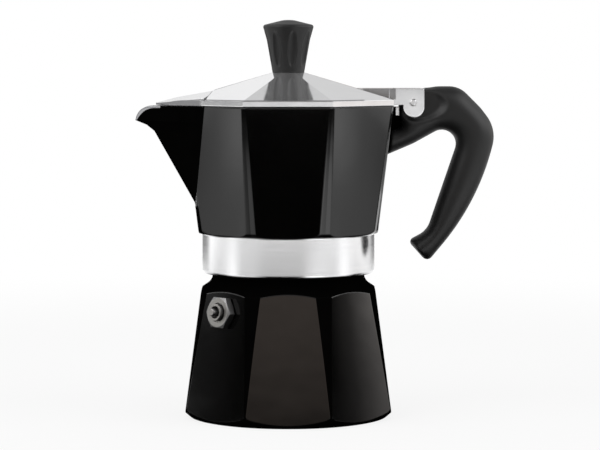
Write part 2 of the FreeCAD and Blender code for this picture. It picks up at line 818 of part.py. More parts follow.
def make_valve_spring(seat):
    """A coil whose turns stand between the web and the retainer."""
    wire = value("spring_wire")
    mean_r = value("spring_mean_r")
    turns = value("spring_turns")
    gap = value("press_fit")
    low = value("retainer_top") + wire / 2 + gap
    climb = value("spring_length") - wire - 2 * gap
    steps = int(round(4 * turns))
    spots, ways = [], []
    for step in range(steps + 1):
        angle = 2 * math.pi * turns * step / steps
        spots.append(
            FreeCAD.Vector(mean_r * math.cos(angle), mean_r * math.sin(angle), low + climb * step / steps)
        )
        slope = climb / (2 * math.pi * turns)
        way = FreeCAD.Vector(-mean_r * math.sin(angle), mean_r * math.cos(angle), slope)
        ways.append(way.normalize())
    edges = []
    for step in range(steps):
        edges += biarc(spots[step], ways[step], spots[step + 1], ways[step + 1])
    path = Part.Wire(edges)
    section = Part.Wire(Part.makeCircle(wire / 2, spots[0], ways[0]))
    piece = doc.addObject("Part::Feature", "valve_spring")
    piece.Shape = path.makePipeShell([section], True, False)
    piece.Placement = seat
    print("valve_spring gap between turns", round(climb / turns - wire, 3))
    return piece


# Funnel, strainer, gasket and filter plate


def make_funnel():
    return turned("funnel", [
        ("funnel_flange_r", "neck_top_z"),
        ("funnel_flange_r", "flange_top_z"),
        ("basket_bore_r", "flange_top_z"),
        ("basket_bore_r", "strainer_low_z"),
        ("basket_bore_r - funnel_ledge", "strainer_low_z"),
        ("funnel_tube_r - funnel_wall", "cone_low_z"),
        ("funnel_tube_r - funnel_wall", "funnel_tube_end_z"),
        ("funnel_tube_r", "funnel_tube_end_z"),
        ("funnel_tube_r", "cone_low_z - funnel_wall"),
        ("funnel_basket_r", "strainer_low_z - funnel_wall"),
        ("funnel_basket_r", "neck_top_z"),
    ])


def make_funnel_strainer():
    piece = turned("funnel_strainer", [
        ("0", "strainer_low_z"),
        ("basket_bore_r - press_fit", "strainer_low_z"),
        ("basket_bore_r - press_fit", "strainer_top_z"),
        ("0", "strainer_top_z"),
    ])
    doc.recompute()
    perforate(piece, "strainer", "strainer_top_z + plate_thickness")
    return piece


def make_gasket():
    return turned("gasket", [
        ("gasket_bore_r", "flange_top_z"),
        ("gasket_r", "flange_top_z"),
        ("gasket_r", "underside_z"),
        ("gasket_bore_r", "underside_z"),
    ])


def make_filter_plate():
    piece = turned("filter_plate", [
        ("0", "filter_low_z"),
        ("filter_r", "filter_low_z", "filter_rounding"),
        ("filter_r", "underside_z"),
        ("filter_r - filter_rim", "underside_z"),
        ("filter_r - filter_rim", "filter_top_z", "filter_rounding - filter_rim"),
        ("0", "filter_top_z"),
    ])
    doc.recompute()
    perforate(piece, "filter", "underside_z + plate_thickness")
    return piece


# Upper chamber


def chamber_facet(height):
    """The upper chamber's flat distance at a height."""
    return f"(chamber_facet_low + (({height}) - chamber_bottom_z) * chamber_lean)"


def spout_levels():
    """The spout's levels from its root to above the rim, each with how far out its keel is."""
    levels = []
    for run in range(KEEL_RUNS):
        height = f"(spout_root_z + (spout_bend_z - spout_root_z) * {run} / {KEEL_RUNS})"
        keel = f"(spout_root_reach + (spout_bend_reach - spout_root_reach) * {run} / {KEEL_RUNS})"
        levels.append((height, keel))
    levels.append(("spout_bend_z", "spout_bend_reach"))
    levels.append(("spout_lip_z", "spout_lip_reach"))
    levels.append(("spout_tip_z", "spout_tip_reach"))
    levels.append(("over_rim_z", "spout_rim_reach"))
    return levels


def spout_crease(height):
    """How far out and how far aside the spout's creases lie on the facets at a height."""
    share = f"((({height}) - spout_root_z) / (chamber_rim_z - spout_root_z))"
    root_half = f"({chamber_facet('spout_root_z')} * tan({HALF_FACET} deg))"
    root_reach = chamber_facet("spout_root_z")
    reach = f"({root_reach} + (spout_crease_top_reach - {root_reach}) * {share})"
    half = f"({root_half} + (spout_crease_top_half - {root_half}) * {share})"
    return reach, half


def spout_section(name, height, keel, inset):
    """One level V of the spout: its keel at the front and its creases on the facets beside it."""
    reach, half = spout_crease(height)
    draw_in = f"({inset} * sqrt(1 + (({keel} - {reach}) / {half})^2))"
    crease_half = f"({half} - {inset} * {CREASE_SHARE})"
    corners = [
        (f"{reach} - {draw_in}", f"-{crease_half}"),
        (f"{keel} - {draw_in}", "0"),
        (f"{reach} - {draw_in}", crease_half),
        (f"{reach} - spout_root_depth", "0"),
    ]
    section = free_outline(name, corners, turn_about((0, 0, 1), 180))
    return raise_to(section, height)


def spout(name, inset):
    """The spout's V from its root to above the rim, drawn in by its wall where it is the hollow."""
    sections = [
        spout_section(f"{name}_{index}", height, keel, inset)
        for index, (height, keel) in enumerate(spout_levels())
    ]
    return loft(name, sections)


def beside_spout(name, side):
    """What the spout's V takes off the chamber's corner beside it: from its crease to just behind its keel."""
    sections = []
    for index, (height, keel) in enumerate(spout_levels()):
        reach, half = spout_crease(height)
        corners = [
            (reach, f"{side} * {half}"),
            (f"{keel} - spout_wall / 4", "0"),
            (f"{keel} + spout_wall", f"{side} * {half}"),
        ]
        section = free_outline(f"{name}_{index}", corners, turn_about((0, 0, 1), 180))
        sections.append(raise_to(section, height))
    return loft(name, sections)


def make_upper_chamber():
    block_section = [
        ("0", "chamber_bottom_z"),
        ("chamber_edge_low", "chamber_bottom_z", "chamber_base_rounding"),
        ("chamber_edge_high", "chamber_rim_z"),
        ("0", "chamber_rim_z"),
    ]
    hollow_section = [
        ("0", "floor_top_z"),
        ("chamber_edge_low - chamber_wall", "floor_top_z", "chamber_floor_rounding"),
        ("chamber_edge_high - chamber_wall", "over_rim_z"),
        ("0", "over_rim_z"),
    ]
    outer = facets("chamber_sides", [
        (chamber_facet("chamber_bottom_z"), "chamber_bottom_z"),
        (chamber_facet("chamber_rim_z"), "chamber_rim_z"),
    ])
    inner = facets("chamber_inner_sides", [
        (f"{chamber_facet('floor_top_z')} - chamber_wall", "floor_top_z"),
        (f"{chamber_facet('over_rim_z')} - chamber_wall", "over_rim_z"),
    ])
    walls = shared("chamber_block", [turned("chamber_turned", block_section), outer])
    room = shared("chamber_room", [turned("chamber_room_turned", hollow_section), inner])
    collar = turned("collar", [
        ("collar_bore_r", "collar_bottom_z"),
        ("collar_r", "collar_bottom_z", "collar_rounding"),
        ("collar_r", "underside_z + chamber_floor / 2"),
        ("collar_bore_r", "underside_z + chamber_floor / 2"),
    ])
    tang = slab("tang", [
        (f"{chamber_facet('tang_low_z')} - chamber_wall / 2", "tang_low_z"),
        ("tang_toe_x", "tang_toe_z"),
        ("pin_x + tang_r", "pin_z"),
        ("pin_x", "pin_z"),
        ("pin_x - tang_r", "tang_high_z"),
        (f"{chamber_facet('tang_low_z')} - chamber_wall / 2", "tang_high_z"),
    ], "tang_half")
    knuckle = cross_bar("tang_knuckle", "tang_r", "tang_half", "pin_x", "pin_z")
    half_trimmed = cut("chamber_half_trimmed", walls, beside_spout("beside_spout_left", -1))
    trimmed = cut("chamber_trimmed", half_trimmed, beside_spout("beside_spout_right", 1))
    solid = fused("chamber_solid", [trimmed, spout("spout", "0"), collar, tang, knuckle])
    above_lip = slab("above_lip", [
        ("-lip_start_reach", "chamber_rim_z"),
        ("-lip_corner_reach", "lip_corner_z", "lip_rounding"),
        ("-spout_tip_reach", "spout_tip_z"),
        ("-(spout_rim_reach + lip_rounding)", "spout_tip_z"),
        ("-(spout_rim_reach + lip_rounding)", "over_rim_z + lid_band"),
        ("-lip_start_reach + lip_rounding", "over_rim_z + lid_band"),
        ("-lip_start_reach + lip_rounding", "chamber_rim_z"),
    ], "spout_crease_top_half")
    above_spout = block(
        "above_spout", "-lip_start_reach - lip_rounding / 2",
        "spout_root_depth + spout_wall - spout_crease_top_reach",
        "chamber_edge_high", "chamber_rim_z", "over_rim_z + lid_band"
    )
    under = turned("under_bore", [
        ("0", "collar_bottom_z - collar_lead_in"),
        ("collar_bore_r + collar_lead_in", "collar_bottom_z - collar_lead_in"),
        ("collar_bore_r + collar_lead_in", "collar_bottom_z"),
        ("collar_bore_r", "collar_bottom_z + collar_lead_in"),
        ("collar_bore_r", "underside_z"),
        ("under_dish_r", "underside_z"),
        ("column_spigot_r", "column_low_z"),
        ("column_spigot_r", "floor_top_z + chamber_floor"),
        ("0", "floor_top_z + chamber_floor"),
    ])
    pin_hole = cross_bar("tang_hole", "pin_r + pin_fit", "2 * tang_half", "pin_x", "pin_z")
    spout_room = spout("spout_hollow", "spout_wall")
    removed = fused("chamber_removed", [room, spout_room, above_lip, above_spout, under, pin_hole])
    casting = cut("chamber_casting", solid, removed)
    ridge_start = "thread_start_z - thread_pitch / 2"
    ridge = thread_ridge("collar_thread", "collar_bore_r", "collar_crest_r", ridge_start)
    piece = fused("upper_chamber", [casting, ridge])
    piece.Refine = False
    return piece


def make_column():
    spigot = "(column_spigot_r - press_fit)"
    body = turned("column_turned", [
        ("column_bore_r", "column_low_z"),
        (spigot, "column_low_z"),
        (spigot, "floor_top_z"),
        ("column_flange_r", "floor_top_z"),
        ("column_flange_r", "floor_top_z + column_flange"),
        ("column_base_r", "floor_top_z + 2 * column_flange"),
        ("column_top_r", "column_top_z", "column_top_rounding"),
        ("0", "column_top_z"),
        ("0", "column_bore_top_z"),
        ("column_bore_r", "column_bore_top_z"),
    ])
    outlet = cross_bar(
        "column_outlet", "column_outlet_r", "column_flange_r", "0",
        "column_bore_top_z - column_outlet_r"
    )
    return cut("column", body, outlet)


# Lid


def plan_column(name, corners, low, high):
    """An upright solid over a plan whose reach points towards the spout."""
    plan = free_outline(f"{name}_plan", corners, turn_about((0, 0, 1), 180))
    raise_to(plan, low)
    solid = doc.addObject("Part::Extrusion", name)
    solid.Base = plan
    solid.DirMode = "Custom"
    solid.Dir = FreeCAD.Vector(0, 0, 1)
    solid.Solid = True
    return bind(solid, LengthFwd=f"({high}) - ({low})")


def house_section(name, reach, ridge, low):
    """An upright cross-section of the beak: a ridge with a roof that falls to both sides."""
    facing_spout = FreeCAD.Placement(FreeCAD.Vector(), FreeCAD.Rotation(0.5, 0.5, 0.5, 0.5))
    eaves = f"({ridge}) - beak_side_slope * beak_wide_half"
    section = free_outline(name, [
        ("-beak_wide_half", low),
        ("beak_wide_half", low),
        ("beak_wide_half", eaves),
        ("0", ridge),
        ("-beak_wide_half", eaves),
    ], facing_spout)
    section.setExpression("Placement.Base.x", cells(f"-({reach})"))
    return section


def beak(name, inset):
    """The raised hood over the spout, drawn in and lowered where it is the hollow underneath."""
    low = f"(lid_low_z - {inset})"
    root_reach = f"(beak_root_reach - 3 * {inset})"
    wide_reach = f"(beak_wide_reach - {inset} / 2)"
    wide_half = f"(beak_wide_half - {inset})"
    shoulder_reach = f"(beak_shoulder_reach - {inset})"
    shoulder_half = f"(beak_shoulder_half - {inset} / 2)"
    nose_reach = f"(beak_nose_reach - {inset})"
    column = plan_column(f"{name}_column", [
        (root_reach, "0"),
        (wide_reach, f"-{wide_half}"),
        (shoulder_reach, f"-{shoulder_half}"),
        (nose_reach, "-beak_nose_half"),
        (nose_reach, "beak_nose_half"),
        (shoulder_reach, shoulder_half),
        (wide_reach, wide_half),
    ], low, "lid_top_z")
    back_slope = "((beak_root_z - beak_ridge_z) / (beak_ridge_reach - beak_root_reach))"
    roof_low = f"({low} - beak_side_slope * beak_wide_half)"
    roof_start = "(beak_root_reach / 2)"
    roof = loft(f"{name}_roof", [
        house_section(
            f"{name}_start", roof_start,
            f"beak_root_z + (beak_root_reach - {roof_start}) * {back_slope} - {inset}", roof_low
        ),
        house_section(f"{name}_ridge", "beak_ridge_reach", f"beak_ridge_z - {inset}", roof_low),
        house_section(f"{name}_nose", "beak_nose_reach", f"beak_nose_z - {inset}", roof_low),
    ])
    return shared(name, [column, roof])


def make_lid():
    dome = facets("lid_dome", [
        ("lid_facet", "lid_low_z"),
        ("lid_facet", "lid_band_top_z"),
        ("lid_top_facet", "lid_top_z"),
    ])
    under_dome = facets("lid_under_dome", [
        ("lid_facet - lid_wall", "lid_low_z - lid_wall"),
        ("lid_facet - lid_wall", "lid_band_top_z - lid_slant / 2"),
        ("lid_top_facet", "lid_inner_top_z"),
    ])
    zones = []
    for use in ("outer", "inner"):
        zones.append(plan_column(f"beak_zone_{use}", [
            ("beak_root_reach", "0"),
            ("beak_wide_reach", "-beak_wide_half"),
            ("beak_nose_reach", "-beak_wide_half"),
            ("beak_nose_reach", "beak_wide_half"),
            ("beak_wide_reach", "beak_wide_half"),
        ], "lid_low_z - 2 * lid_wall", "lid_top_z"))
    arm = block(
        "hinge_arm", "hinge_arm_start_x", "ear_start_x", "hinge_arm_half", "lid_low_z", "hinge_top_z"
    )
    ear_rounding = "min(ear_rounding; (ear_end_x - ear_cutout_x) / 2 - press_fit)"
    ears = cut(
        "ears",
        slab("ear_plate", [
            ("ear_root_x", "hinge_top_z"),
            ("ear_end_x", "hinge_top_z", "ear_corner"),
            ("ear_end_x", "ear_bottom_z", ear_rounding),
            ("ear_cutout_x", "ear_bottom_z", ear_rounding),
            ("ear_cutout_x", "lid_low_z"),
            ("ear_root_x", "lid_low_z"),
        ], "ear_outer"),
        block(
            "ear_slot", "ear_start_x", "ear_end_x + tang_r", "ear_inner",
            "ear_bottom_z - tang_r", "hinge_top_z + tang_r"
        ),
    )
    solid = fused("lid_solid", [cut("lid_main", dome, zones[0]), beak("beak_outer", "0"), arm, ears])
    removed = fused("lid_removed", [
        cut("lid_main_hollow", under_dome, zones[1]),
        beak("beak_hollow", "lid_wall"),
        cross_bar("ear_hole", "pin_r + pin_fit", "ear_outer + pin_r", "pin_x", "pin_z"),
        cylinder("lid_screw_hole", "screw_r + screw_fit", "washer_low_z", "lid_top_z + lid_wall"),
    ])
    return cut("lid", solid, removed)


def make_knob():
    body = turned("knob_turned", [
        ("0", "lid_top_z"),
        ("knob_base_r", "lid_top_z"),
        ("knob_waist_r", "knob_waist_z"),
        ("knob_rim_r", "knob_rim_z", "knob_rim_rounding"),
        ("knob_dome_r", "knob_top_z", "knob_dome_rounding"),
        ("0", "knob_top_z"),
    ])
    lean = math.degrees(math.atan(value("(knob_rim_r - knob_base_r) / (knob_rim_z - lid_top_z)")))
    share = "((flute_z - lid_top_z) / (knob_rim_z - lid_top_z))"
    reach = f"(knob_base_r + (knob_rim_r - knob_base_r) * {share})"
    flutes = []
    for index in range(FLUTE_COUNT):
        turn = value("flute_turn") - 90 + index * 360 / FLUTE_COUNT
        flute = bind(
            doc.addObject("Part::Ellipsoid", f"flute_{index}"),
            Radius1="flute_half_height",
            Radius2="flute_depth",
            Radius3="flute_half_width",
        )
        spin = FreeCAD.Rotation(FreeCAD.Vector(0, 0, 1), turn)
        tilt = FreeCAD.Rotation(FreeCAD.Vector(0, 1, 0), lean)
        spot = FreeCAD.Vector(value(reach), 0, value("flute_z"))
        flute.Placement = FreeCAD.Placement(spin.multVec(spot), spin.multiply(tilt))
        flutes.append(flute)
    socket = cylinder("knob_socket", "insert_r", "lid_top_z - lid_wall", "lid_top_z + insert_length")
    return cut("knob", body, fused("knob_removed", flutes + [socket]))


def make_knob_insert():
    rim = "(insert_r - press_fit)"
    bore = "(screw_r + screw_fit)"
    return turned("knob_insert", [
        (bore, "lid_top_z"),
        (rim, "lid_top_z"),
        (rim, "lid_top_z + insert_length"),
        (bore, "lid_top_z + insert_length"),
    ])


def make_knob_washer():
    return turned("knob_washer", [
        ("screw_r + screw_fit", "washer_low_z"),
        ("knob_washer_r", "washer_low_z"),
        ("knob_washer_r", "lid_inner_top_z"),
        ("screw_r + screw_fit", "lid_inner_top_z"),
    ])


def make_knob_screw():
    body = turned("screw_turned", [
        ("0", "head_low_z"),
        ("screw_head_r", "head_low_z", "screw_head_height / 2"),
        ("screw_head_r", "washer_low_z"),
        ("screw_r", "washer_low_z"),
        ("screw_r", "lid_top_z + screw_reach"),
        ("0", "lid_top_z + screw_reach"),
    ])
    slot = block(
        "screw_slot", "-2 * screw_head_r", "2 * screw_head_r", "screw_slot_width / 2",
        "head_low_z - screw_slot_depth", "head_low_z + screw_slot_depth"
    )
    return cut("knob_screw", body, slot)


# Hinge pin and handle


def make_hinge_pin():
    half_length = "(ear_outer + pin_proud)"
    pin = turned("hinge_pin", [
        ("0", f"-{half_length}"),
        ("pin_r - pin_proud", f"-{half_length}"),
        ("pin_r", "-ear_outer"),
        ("pin_r", "ear_outer"),
        ("pin_r - pin_proud", half_length),
        ("0", half_length),
    ])
    pin.Placement = turn_about((1, 0, 0), 90)
    pin.setExpression("Placement.Base.x", cells("pin_x"))
    pin.setExpression("Placement.Base.z", cells("pin_z"))
    return pin


def rounded_edges(name, base, half_width, radius, end_faces):
    """Rounds the edges along a slab's two broad faces, but for those of its end faces."""
    doc.recompute()
    end_spots = [{spot_of(*corner) for corner in corners} for corners in end_faces]
    chosen = []
    for index, edge in enumerate(base.Shape.Edges, start=1):
        box = edge.BoundBox
        on_face = box.YLength < TOUCHING and abs(abs(box.YMin) - half_width) < TOUCHING
        ends = {(round(corner.X, SPOT_DIGITS), round(corner.Z, SPOT_DIGITS)) for corner in edge.Vertexes}
        if on_face and not any(ends <= spots for spots in end_spots):
            chosen.append((index, radius, radius))
    soft = doc.addObject("Part::Fillet", name)
    soft.Base = base
    soft.Edges = chosen
    return soft


def spot_of(x, z):
    """Where two formulas put a corner of an outline that stands along XZ."""
    return (round(value(x), SPOT_DIGITS), round(value(z), SPOT_DIGITS))


def make_handle():
    grip = slab("grip", [
        ("handle_crest_x", "handle_top_z", "handle_crest_rounding"),
        ("handle_brow_x", "handle_top_z", "handle_brow_rounding"),
        ("handle_elbow_x", "handle_elbow_z", "handle_elbow_rounding"),
        ("handle_back_x", "handle_back_z", "handle_back_rounding"),
        ("handle_tail_x", "handle_tail_z"),
        ("handle_toe_x", "handle_toe_z"),
        ("handle_heel_x", "handle_heel_z", "handle_heel_rounding"),
        ("handle_arch_x", "handle_arch_z", "handle_arch_rounding"),
        ("handle_belly_x", "handle_belly_z", "handle_belly_rounding"),
        ("handle_root_x", "handle_root_low_z"),
        ("handle_root_x", "handle_root_high_z"),
        ("handle_arm_x", "handle_arm_z", "handle_scoop_rounding"),
        ("handle_scoop_x", "handle_scoop_z", "handle_scoop_rounding"),
    ], "handle_half")
    end_faces = [
        [("handle_tail_x", "handle_tail_z"), ("handle_toe_x", "handle_toe_z")],
        [("handle_root_x", "handle_root_low_z"), ("handle_root_x", "handle_root_high_z")],
    ]
    soft_grip = rounded_edges(
        "grip_rounded", grip, value("handle_half"), value("handle_rounding"), end_faces
    )
    tongue = slab("tongue", [
        ("pin_x - tongue_r", "pin_z + tongue_r", "tongue_rounding"),
        ("handle_scoop_x + handle_rounding", "pin_z + tongue_r"),
        ("handle_scoop_x + handle_rounding", "handle_scoop_z"),
        ("handle_arm_x", "handle_arm_z"),
        ("pin_x", "pin_z - tongue_r"),
        ("pin_x - tongue_r", "pin_z - tongue_r", "tongue_rounding"),
    ], "tongue_half")
    slot = slab("tang_slot", [
        ("handle_root_x", "tang_low_z - hinge_clearance"),
        (chamber_facet("tang_low_z"), "tang_low_z - hinge_clearance"),
        ("tang_toe_x + hinge_clearance", "tang_toe_z - hinge_clearance"),
        ("pin_x + tang_r + hinge_clearance", "pin_z"),
        ("pin_x + tang_r + hinge_clearance", "handle_top_z"),
        ("handle_root_x", "handle_top_z"),
    ], "tang_half + hinge_clearance")
    wall = facets("handle_wall", [
        (f"{chamber_facet('floor_top_z')} + handle_fit", "floor_top_z"),
        (f"{chamber_facet('chamber_rim_z')} + handle_fit", "chamber_rim_z"),
    ])
    hole = cross_bar("tongue_hole", "pin_r + pin_fit", "handle_half", "pin_x", "pin_z")
    solid = fused("handle_solid", [soft_grip, tongue])
    return cut("handle", solid, fused("handle_removed", [slot, wall, hole]))


# All the pieces, each checked before its file is written


def build():
    seat = valve_seat()
    return [
        make_boiler(seat),
        make_valve_body(seat),
        make_valve_washer(seat),
        make_valve_piston(seat),
        make_valve_retainer(seat),
        make_valve_spring(seat),
        make_funnel(),
        make_funnel_strainer(),
        make_gasket(),
        make_filter_plate(),
        make_upper_chamber(),
        make_column(),
        make_lid(),
        make_knob(),
        make_knob_insert(),
        make_knob_washer(),
        make_knob_screw(),
        make_hinge_pin(),
        make_handle(),
    ]


pieces = build()
doc.recompute()
faults = [
    f"{item.Label}: {item.State}"
    for item in doc.Objects
    if {"Invalid", "Error"} & set(item.State)
]
for piece in pieces:
    piece.Label = piece.Name
    shape = piece.Shape
    if shape.isNull() or not shape.isValid():
        faults.append(f"{piece.Label}: no valid shape")
    elif len(shape.Solids) != 1:
        faults.append(f"{piece.Label}: {len(shape.Solids)} solids")
if faults:
    raise RuntimeError("; ".join(faults))

os.makedirs("parts", exist_ok=True)
for piece in pieces:
    piece.Shape.exportStep(f"parts/{piece.Label}.step")
    print(piece.Label, round(piece.Shape.Volume, 1))
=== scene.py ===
"""Looks of a moka pot: enamelled castings, a polished lid, turned metal and black plastic."""

import math

import bpy
import numpy as np
from mathutils.geometry import delaunay_2d_cdt
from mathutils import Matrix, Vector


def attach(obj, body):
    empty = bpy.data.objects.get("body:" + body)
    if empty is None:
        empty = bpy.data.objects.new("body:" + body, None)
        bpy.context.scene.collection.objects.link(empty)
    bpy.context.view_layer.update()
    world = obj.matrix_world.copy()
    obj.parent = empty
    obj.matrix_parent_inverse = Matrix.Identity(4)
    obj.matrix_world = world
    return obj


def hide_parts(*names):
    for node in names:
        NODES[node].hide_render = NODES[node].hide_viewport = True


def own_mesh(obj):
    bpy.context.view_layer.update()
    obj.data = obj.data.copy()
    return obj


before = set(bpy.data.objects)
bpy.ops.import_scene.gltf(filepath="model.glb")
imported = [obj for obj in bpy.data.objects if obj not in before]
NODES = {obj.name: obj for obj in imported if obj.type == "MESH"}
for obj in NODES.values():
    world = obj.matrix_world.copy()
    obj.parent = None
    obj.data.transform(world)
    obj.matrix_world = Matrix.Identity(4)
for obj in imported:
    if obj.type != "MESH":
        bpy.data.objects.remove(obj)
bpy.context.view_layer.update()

MM = 0.001

# Places on the boiler, in millimetres, that its finish follows
BOILER_HOLLOW_Z = 30.0
SHOULDER_Z = 40.0
NECK_Z = 53.0
NECK_PAINT_TOP = 58.9

# Places on the upper chamber, in millimetres, that its finish follows
CHAMBER_BOTTOM = 74.5
CHAMBER_FACET_LOW = 35.9
CHAMBER_LEAN = 0.1182
COLLAR_TOP = CHAMBER_BOTTOM - 0.15
LIP_BARE_X = -51.5
LIP_PAINT_START = -52.0
LIP_PAINT_RUN = 8.8
LIP_PAINT_DROP = 4.2
LIP_PAINT_TOP = 125.2
LIP_PAINT_BEND = 3.0
SPOUT_SIDE_X = -25.0
SPOUT_ROOT_Z = 85.5
SPOUT_CREASE_X = -37.2
SPOUT_CREASE_LEAN = 0.1022
SPOUT_CREASE_LAP = 0.15
TANG_BARE_X = 43.4
TANG_BARE_Z = 122.0
TANG_OUT = 0.3

# Places on the lid, in millimetres, that its finish follows
LID_BAND_TOP = 128.5
LID_CREASE_Z = LID_BAND_TOP + 0.15
LID_CREASE_HALF = 0.22
BEAK_CAST_X = -34.3
BEAK_ROOT_X = -28.0
BEAK_ROOT_SWEEP = 0.187
BEAK_ROOT_Y = 13.0
BEAK_ROOT_LOW_Z = LID_BAND_TOP - 0.3
BEAK_ROOT_HALF = 0.3
EAR_CAST_LOW_X = 30.0
EAR_CAST_HIGH_X = 43.2

# Facets, and how far a face has to point a way to count
FACET_TURN = math.pi / 4
FACET_CROWN = 0.0056
CORNER_TURN = 0.06
FACING_AXIS = -0.15
FACING_UP = 0.3
LEVEL = 0.6
LEANING = 0.5
FACING_SIDE = 0.8
VALVE_FACE = 0.94

# Safety valve's axis
VALVE_AXIS = (-0.701159, -0.701159, 0.129428)

# Finishes, where a pair of colours is for a surface's darker and lighter patches, and a pair for
# a bump is its strength and its depth
ENAMEL = ((0.0008, 0.00075, 0.0007, 1), (0.0019, 0.0018, 0.0017, 1))
WORN_ENAMEL = (0.010, 0.0095, 0.009, 1)
ENAMEL_WEAR = 0.25
ENAMEL_ROUGH = (0.07, 0.13)
ENAMEL_GLOSS = 0.5
ENAMEL_WAVE_BUMP = (0.05, 0.9 * MM)
ENAMEL_GRAIN_BUMP = (0.05, 0.02 * MM)
MATT_ROUGH = 0.65
TURNED_SILVER = ((0.76, 0.76, 0.77, 1), (0.90, 0.90, 0.905, 1))
TURNED_ROUGH_SPREAD = (-0.04, 0.06)
TURNED_BUMP = (0.25, 0.02 * MM)
FILED_SILVER = (0.36, 0.36, 0.37, 1)
POLISHED_SILVER = ((0.82, 0.82, 0.83, 1), (0.91, 0.91, 0.915, 1))
SPUN_ALUMINIUM = ((0.66, 0.66, 0.67, 1), (0.78, 0.78, 0.79, 1))
NICKEL = ((0.36, 0.35, 0.33, 1), (0.50, 0.49, 0.47, 1))
BRASS = ((0.55, 0.40, 0.17, 1), (0.70, 0.53, 0.26, 1))
STEEL = ((0.52, 0.52, 0.53, 1), (0.66, 0.66, 0.67, 1))
BRIGHT_STEEL = ((0.76, 0.76, 0.77, 1), (0.86, 0.86, 0.87, 1))
SCRATCH_ROUGH = 0.08
SMUDGE_ROUGH = 0.06
METAL_WAVE_DEPTH = 0.8 * MM
METAL_RING_DEPTH = 0.01 * MM
# Dark metal for painted shade on the lid's crease and beak root, and for dull patches
SHADED_AND_DULL_METAL = (0.16, 0.16, 0.165, 1)
DULL_ROUGH = 0.45
WHITE_RUBBER = ((0.70, 0.69, 0.66, 1), (0.80, 0.79, 0.76, 1))
BLACK_PLASTIC = ((0.0035, 0.0035, 0.0036, 1), (0.0060, 0.0060, 0.0061, 1))
MOULDED_SMUDGE_ROUGH = 0.14
MOULDED_WAVE_BUMP = (0.06, 0.5 * MM)
MOULDED_GRAIN_BUMP = (0.25, 0.02 * MM)
EDGE_STRENGTH = 6.0
EDGE_SAMPLES = 8

# How dark the lid is in painted shade and dull patches, and how dull the valve is beside its face
CREASE_SHADE = 0.85
SKIRT_DULLNESS = 0.8
CHEEK_DULLNESS = 0.75
BEAK_ROOT_SHADE = 0.9
VALVE_DULLNESS = 0.8

# Handle's outline seen from the front, in millimetres: place, height and corner radius
HANDLE_CORNERS = [
    ("tongue_top", 44.4, 133.1, 5.5),
    ("tongue_end", 56.5, 133.1, 18.0),
    ("crest", 60.0, 133.7, 18.0),
    ("brow", 69.1, 133.7, 10.0),
    ("turn", 77.8, 125.0, 20.0),
    ("elbow", 84.38, 116.35, 14.0),
    ("back", 76.9, 86.9, 100.0),
    ("tail", 56.4, 62.2, 2.4),
    ("toe", 48.4, 71.1, 1.8),
    ("heel", 56.2, 75.3, 9.0),
    ("arch", 72.2, 122.5, 5.7),
    ("belly", 50.5, 110.5, 30.0),
    ("wall_low", 39.72, 105.93, 0.4),
    ("wall_high", 40.93, 116.26, 0.4),
    ("armpit", 45.3, 117.56, 1.2),
    ("tongue_low", 44.4, 120.8, 2.0),
]
HANDLE_ENDS = ("tail", "wall_low")

# Handle's mesh, in millimetres: spacing of its points, rows behind its edge and joining of halves
HANDLE_STEP = 0.7
HANDLE_GRID = 0.8
HANDLE_ROWS = (0.05, 0.2, 0.45, 0.8, 1.25)
HANDLE_ROW_SLACK = 0.97
HANDLE_SEAM = 0.002

# Handle's section, its dish about the pin, the pin's hole and the tang's slot, in millimetres
HANDLE_HALF = 8.2
HANDLE_ROUNDING = 8.5
HANDLE_END_ROUNDING = 1.4
TONGUE_HALF = 5.5
TONGUE_ROUNDING = 1.6
PIN_X = 50.2
PIN_Z = 127.3
PIN_HOLE_R = 1.35
PIN_HOLE_SIDES = 32
DISH_X = 12.9
DISH_Z = 7.7
DISH_SOFTNESS = 0.22
TANG_SLOT = [
    (34.0, 110.4), (40.18, 110.4), (54.7, 118.2), (55.0, 127.3), (55.0, 140.0), (34.0, 140.0),
]
TANG_SLOT_HALF = 2.8

# Camera, from the photo's scale and horizon
CAMERA_SPOT = (4.7 * MM, -1.0, 149.9 * MM)
CAMERA_PITCH = 4.147
CAMERA_LENS = 148.1
CAMERA_SENSOR = 36.0
CAMERA_FAR = 50.0

# Lamps: where they stand, their width and height in metres, and their power
LAMPS = [
    ("key_panel", (-0.75, -0.55, 0.85), (0.9, 0.9), 5.0),
    ("fill_panel", (0.85, -0.35, 0.7), (0.7, 0.9), 3.5),
]
LAMP_AIM = (0.0, 0.0, 80 * MM)

# Light that metal and enamel see round the pot near the horizon. The turn in each stop is 0 in
# front of the pot, 0.5 beside it and 1 behind it.
LEFT_LIGHT = [
    (0.0, 1.25), (0.16, 1.18), (0.29, 1.18), (0.455, 1.15), (0.79, 1.5), (0.85, 0.3), (0.92, 0.2),
    (0.97, 0.2), (0.99, 1.2), (1.0, 1.2),
]
RIGHT_LIGHT = [
    (0.0, 1.25), (0.05, 1.05), (0.135, 1.28), (0.255, 1.32), (0.415, 1.16), (0.70, 1.35),
    (0.85, 0.85), (0.92, 0.12), (0.97, 0.15), (0.99, 1.2), (1.0, 1.2),
]

